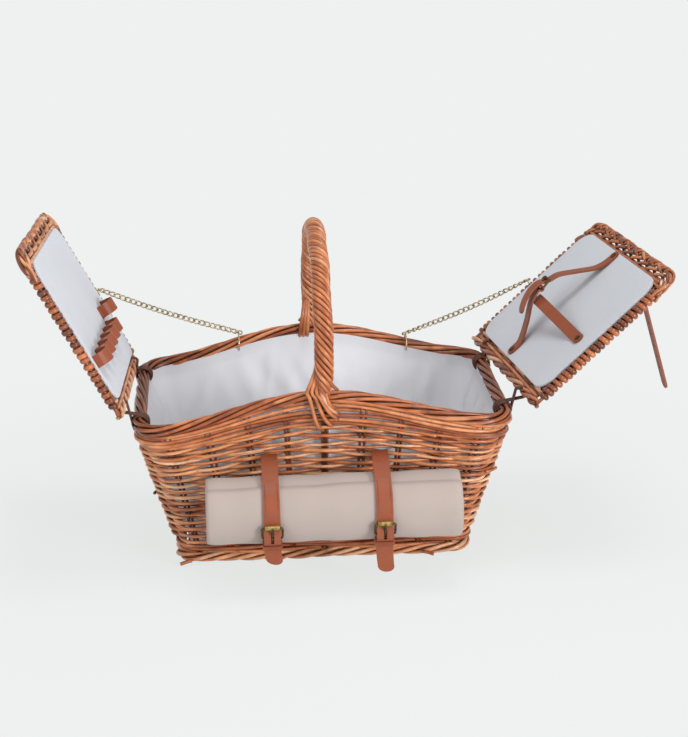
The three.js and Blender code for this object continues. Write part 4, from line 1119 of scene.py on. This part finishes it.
def build_chain(side):
    """Twisted links from the rim to a lid, flat to the front in the middle and turned at the ends."""
    rim_end, lid_end = ends_of(f"{side}_chain")
    way = lid_end - rim_end
    length = np.linalg.norm(way)
    way /= length
    links = round(length / chain_pitch)
    front = np.array([0.0, -1.0, 0.0])
    front = unit(front - way * (front @ way))
    rods = Strands()
    turn = np.linspace(0, 2 * math.pi, 18, endpoint=False)
    reach = length / links / 2 + link_overlap
    for i in range(links):
        share = (i + 0.5) / links
        spin = link_end_turn * (1 - math.sin(math.pi * share) ** 0.7)
        normal = front * math.cos(spin) + np.cross(way, front) * math.sin(spin)
        across = np.cross(normal, way)
        middle = rim_end + way * length * share - np.array([0, 0, chain_sag]) * math.sin(math.pi * share)
        link = np.outer(reach * np.cos(turn), way) + np.outer(link_half_width * np.sin(turn), across)
        link += middle + np.outer(link_twist * np.sin(turn) * np.cos(turn), normal)
        rods.rod(link, link_wire, closed=True)
    piece = rods.piece(f"{side}_chain_links", None, "chain_bronze", f"{side}_chain")
    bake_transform(piece)


# Blanket


def blanket_centre():
    low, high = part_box("blanket_roll")
    return [(low[i] + high[i]) / 2 for i in range(3)]


def build_blanket():
    """A blanket rolled up from its inner end, with its free edge lying near the top of the front."""
    centre = blanket_centre()
    turns = (blanket_radius - blanket_core) / blanket_layer
    t = np.linspace(0, turns, int(40 * turns))
    slack = blanket_slack * np.exp(-((t - 0.93) / 0.06) ** 2)
    rows = []
    for spot in np.linspace(-blanket_length / 2, blanket_length / 2, 72):
        pinch = sum(math.exp(-(((centre[0] + spot - s) / blanket_pinch_width) ** 2)) for s in strap_places)
        end = blanket_end_round * smooth(blanket_length / 2 - blanket_end_run, blanket_length / 2, abs(spot))
        sag = sum(size * math.sin(spot * waves + start) for size, waves, start in blanket_sag)
        radius = (blanket_radius - blanket_cloth_half - blanket_layer * t) * (1 - blanket_pinch * pinch)
        radius = np.maximum(radius - end + sag + slack, blanket_least)
        sway = sum(size * math.sin(spot * waves + start) for size, waves, start in blanket_edge_sway)
        angle = blanket_edge + math.radians(sway) - 2 * math.pi * t
        step = blanket_end_step * np.sin(t * 2.4 + 0.6) * (spot / blanket_length * 2) ** 7
        rows.append(points_of(centre[0] + spot + step, centre[1] - radius * np.cos(angle),
                              centre[2] + radius * np.sin(angle)))
    piece = surface("blanket", np.array(rows), "basket", "blanket_wool", "blanket_roll")
    thick = piece.modifiers.new("thickness", "SOLIDIFY")
    thick.thickness = 2 * blanket_cloth_half
    thick.offset = 0.0


def build_stitching():
    """Thread along both edges of the blanket straps, where they lie over the front of the roll."""
    centre = blanket_centre()
    radius = blanket_radius + strap_over_blanket
    rods = Strands()
    for place in strap_places:
        for side in (-1, 1):
            x = place + side * (strap_width / 2 - stitch_inset)
            for start in np.arange(*stitched, stitch_pitch / radius):
                angle = start + np.linspace(0, stitch_share * stitch_pitch / radius, 5)
                rods.rod(points_of(x, centre[1] - radius * np.cos(angle), centre[2] + radius * np.sin(angle)),
                         stitch_thread, shade=0.4)
    rods.piece("strap_stitching", "basket", "leather", material=thread)


# Solids that stay, with their finishes


def soften(piece):
    """Rounds the edges of a leather piece, with the burnished colour of a cut edge."""
    edge = piece.modifiers.new("edge", "BEVEL")
    edge.width = leather_round
    edge.segments = 2
    edge.material = 1
    piece.data.materials.append(leather_edge)
    edge.limit_method = "ANGLE"
    edge.angle_limit = math.radians(50)


def finish_solids():
    slots = {part["node"]: part["material_slot"] for part in frame["record"]["subparts"]}
    for name, solid in frame["nodes"].items():
        slot = slots.get(name)
        material = finishes.get(slot, leather)
        if name.endswith(("_prong", "_buckle")) or "_rivet" in name:
            material = dark_brass
        solid.data.materials.clear()
        solid.data.materials.append(material)
        if slot == "leather":
            soften(solid)


# Stage, light and camera


def build_stage():
    """A pale floor that shows as paper to the eye, with soft shadows near the basket."""
    bpy.ops.mesh.primitive_circle_add(vertices=96, radius=floor_radius, fill_type="NGON",
                                      location=(0, 0, -floor_drop))
    floor = bpy.context.object
    floor.name = "floor"
    material, tree, shader = new_material("floor_paper")
    pale = srgb(*floor_colour)
    fill(tree, shader, {"Base Color": pale, "Roughness": 0.9, "Specular IOR Level": 0.1})
    glow = node(tree, "ShaderNodeEmission", {"Color": pale, "Strength": 1.0})
    place = object_place(tree)
    length = node(tree, "ShaderNodeVectorMath", {0: place}, operation="LENGTH").outputs["Value"]
    near, far = shadow_reach
    inputs = {"Value": length, "From Min": near, "From Max": far, "To Min": shadow_share}
    share = node(tree, "ShaderNodeMapRange", inputs, interpolation_type="SMOOTHSTEP").outputs[0]
    rays = node(tree, "ShaderNodeLightPath").outputs
    seen = rays["Is Camera Ray"]
    for kind in ("Is Glossy Ray", "Is Transmission Ray"):
        inputs = {0: seen, 1: rays[kind]}
        seen = node(tree, "ShaderNodeMath", inputs, operation="ADD", use_clamp=True).outputs[0]
    share = node(tree, "ShaderNodeMath", {0: share, 1: seen}, operation="MULTIPLY").outputs[0]
    mixed(tree, share, shader, glow)
    floor.data.materials.append(material)


def build_light():
    world = bpy.data.worlds.new("studio")
    bpy.context.scene.world = world
    world.use_nodes = True
    background = world.node_tree.nodes["Background"]
    fill(world.node_tree, background, {"Color": srgb(*floor_colour), "Strength": world_strength})
    for name, (place, size, power) in lamps.items():
        data = bpy.data.lights.new(name, "AREA")
        data.shape = "DISK"
        data.size = size
        data.energy = power
        lamp = bpy.data.objects.new(name, data)
        bpy.context.scene.collection.objects.link(lamp)
        lamp.location = place
        lamp.rotation_euler = (Vector(lamp_aim) - Vector(place)).to_track_quat("-Z", "Y").to_euler()


def build_camera():
    data = bpy.data.cameras.new("photo_camera")
    camera = bpy.data.objects.new("photo_camera", data)
    bpy.context.scene.collection.objects.link(camera)
    data.sensor_width = 36.0
    data.lens = camera_pixels / max(image_size) * data.sensor_width
    data.clip_end = 60
    a, e, r = camera_azimuth, camera_elevation, camera_roll
    back = Vector((math.sin(a) * math.cos(e), -math.cos(a) * math.cos(e), math.sin(e)))
    right = Vector((math.cos(a), math.sin(a), 0))
    up = back.cross(right)
    right, up = right * math.cos(r) + up * math.sin(r), up * math.cos(r) - right * math.sin(r)
    camera.matrix_world = Matrix.Translation(camera_target + back * camera_distance) @ Matrix(
        (right, up, back)).transposed().to_4x4()
    bpy.context.scene.camera = camera


bpy.context.scene.view_settings.view_transform = "Standard"
build_stage()
build_light()
build_camera()
finish_solids()
build_wall()
build_rim()
build_foot()
build_base()
build_handle()
build_fan("handle_fan_front", 0.0, "handle_foot_front")
build_fan("handle_fan_back", math.pi, "handle_foot_back")
build_lining()
for lid_side in ("left", "right"):
    lid_place = lid_frame(lid_side)
    build_lid_field(lid_side, lid_place)
    build_lid_border(lid_side, lid_place)
    build_lid_panel(lid_side, lid_place)
    build_chain(lid_side)
build_plate_straps(lid_frame("right"))
build_hinge_bindings()
build_blanket()
build_stitching()
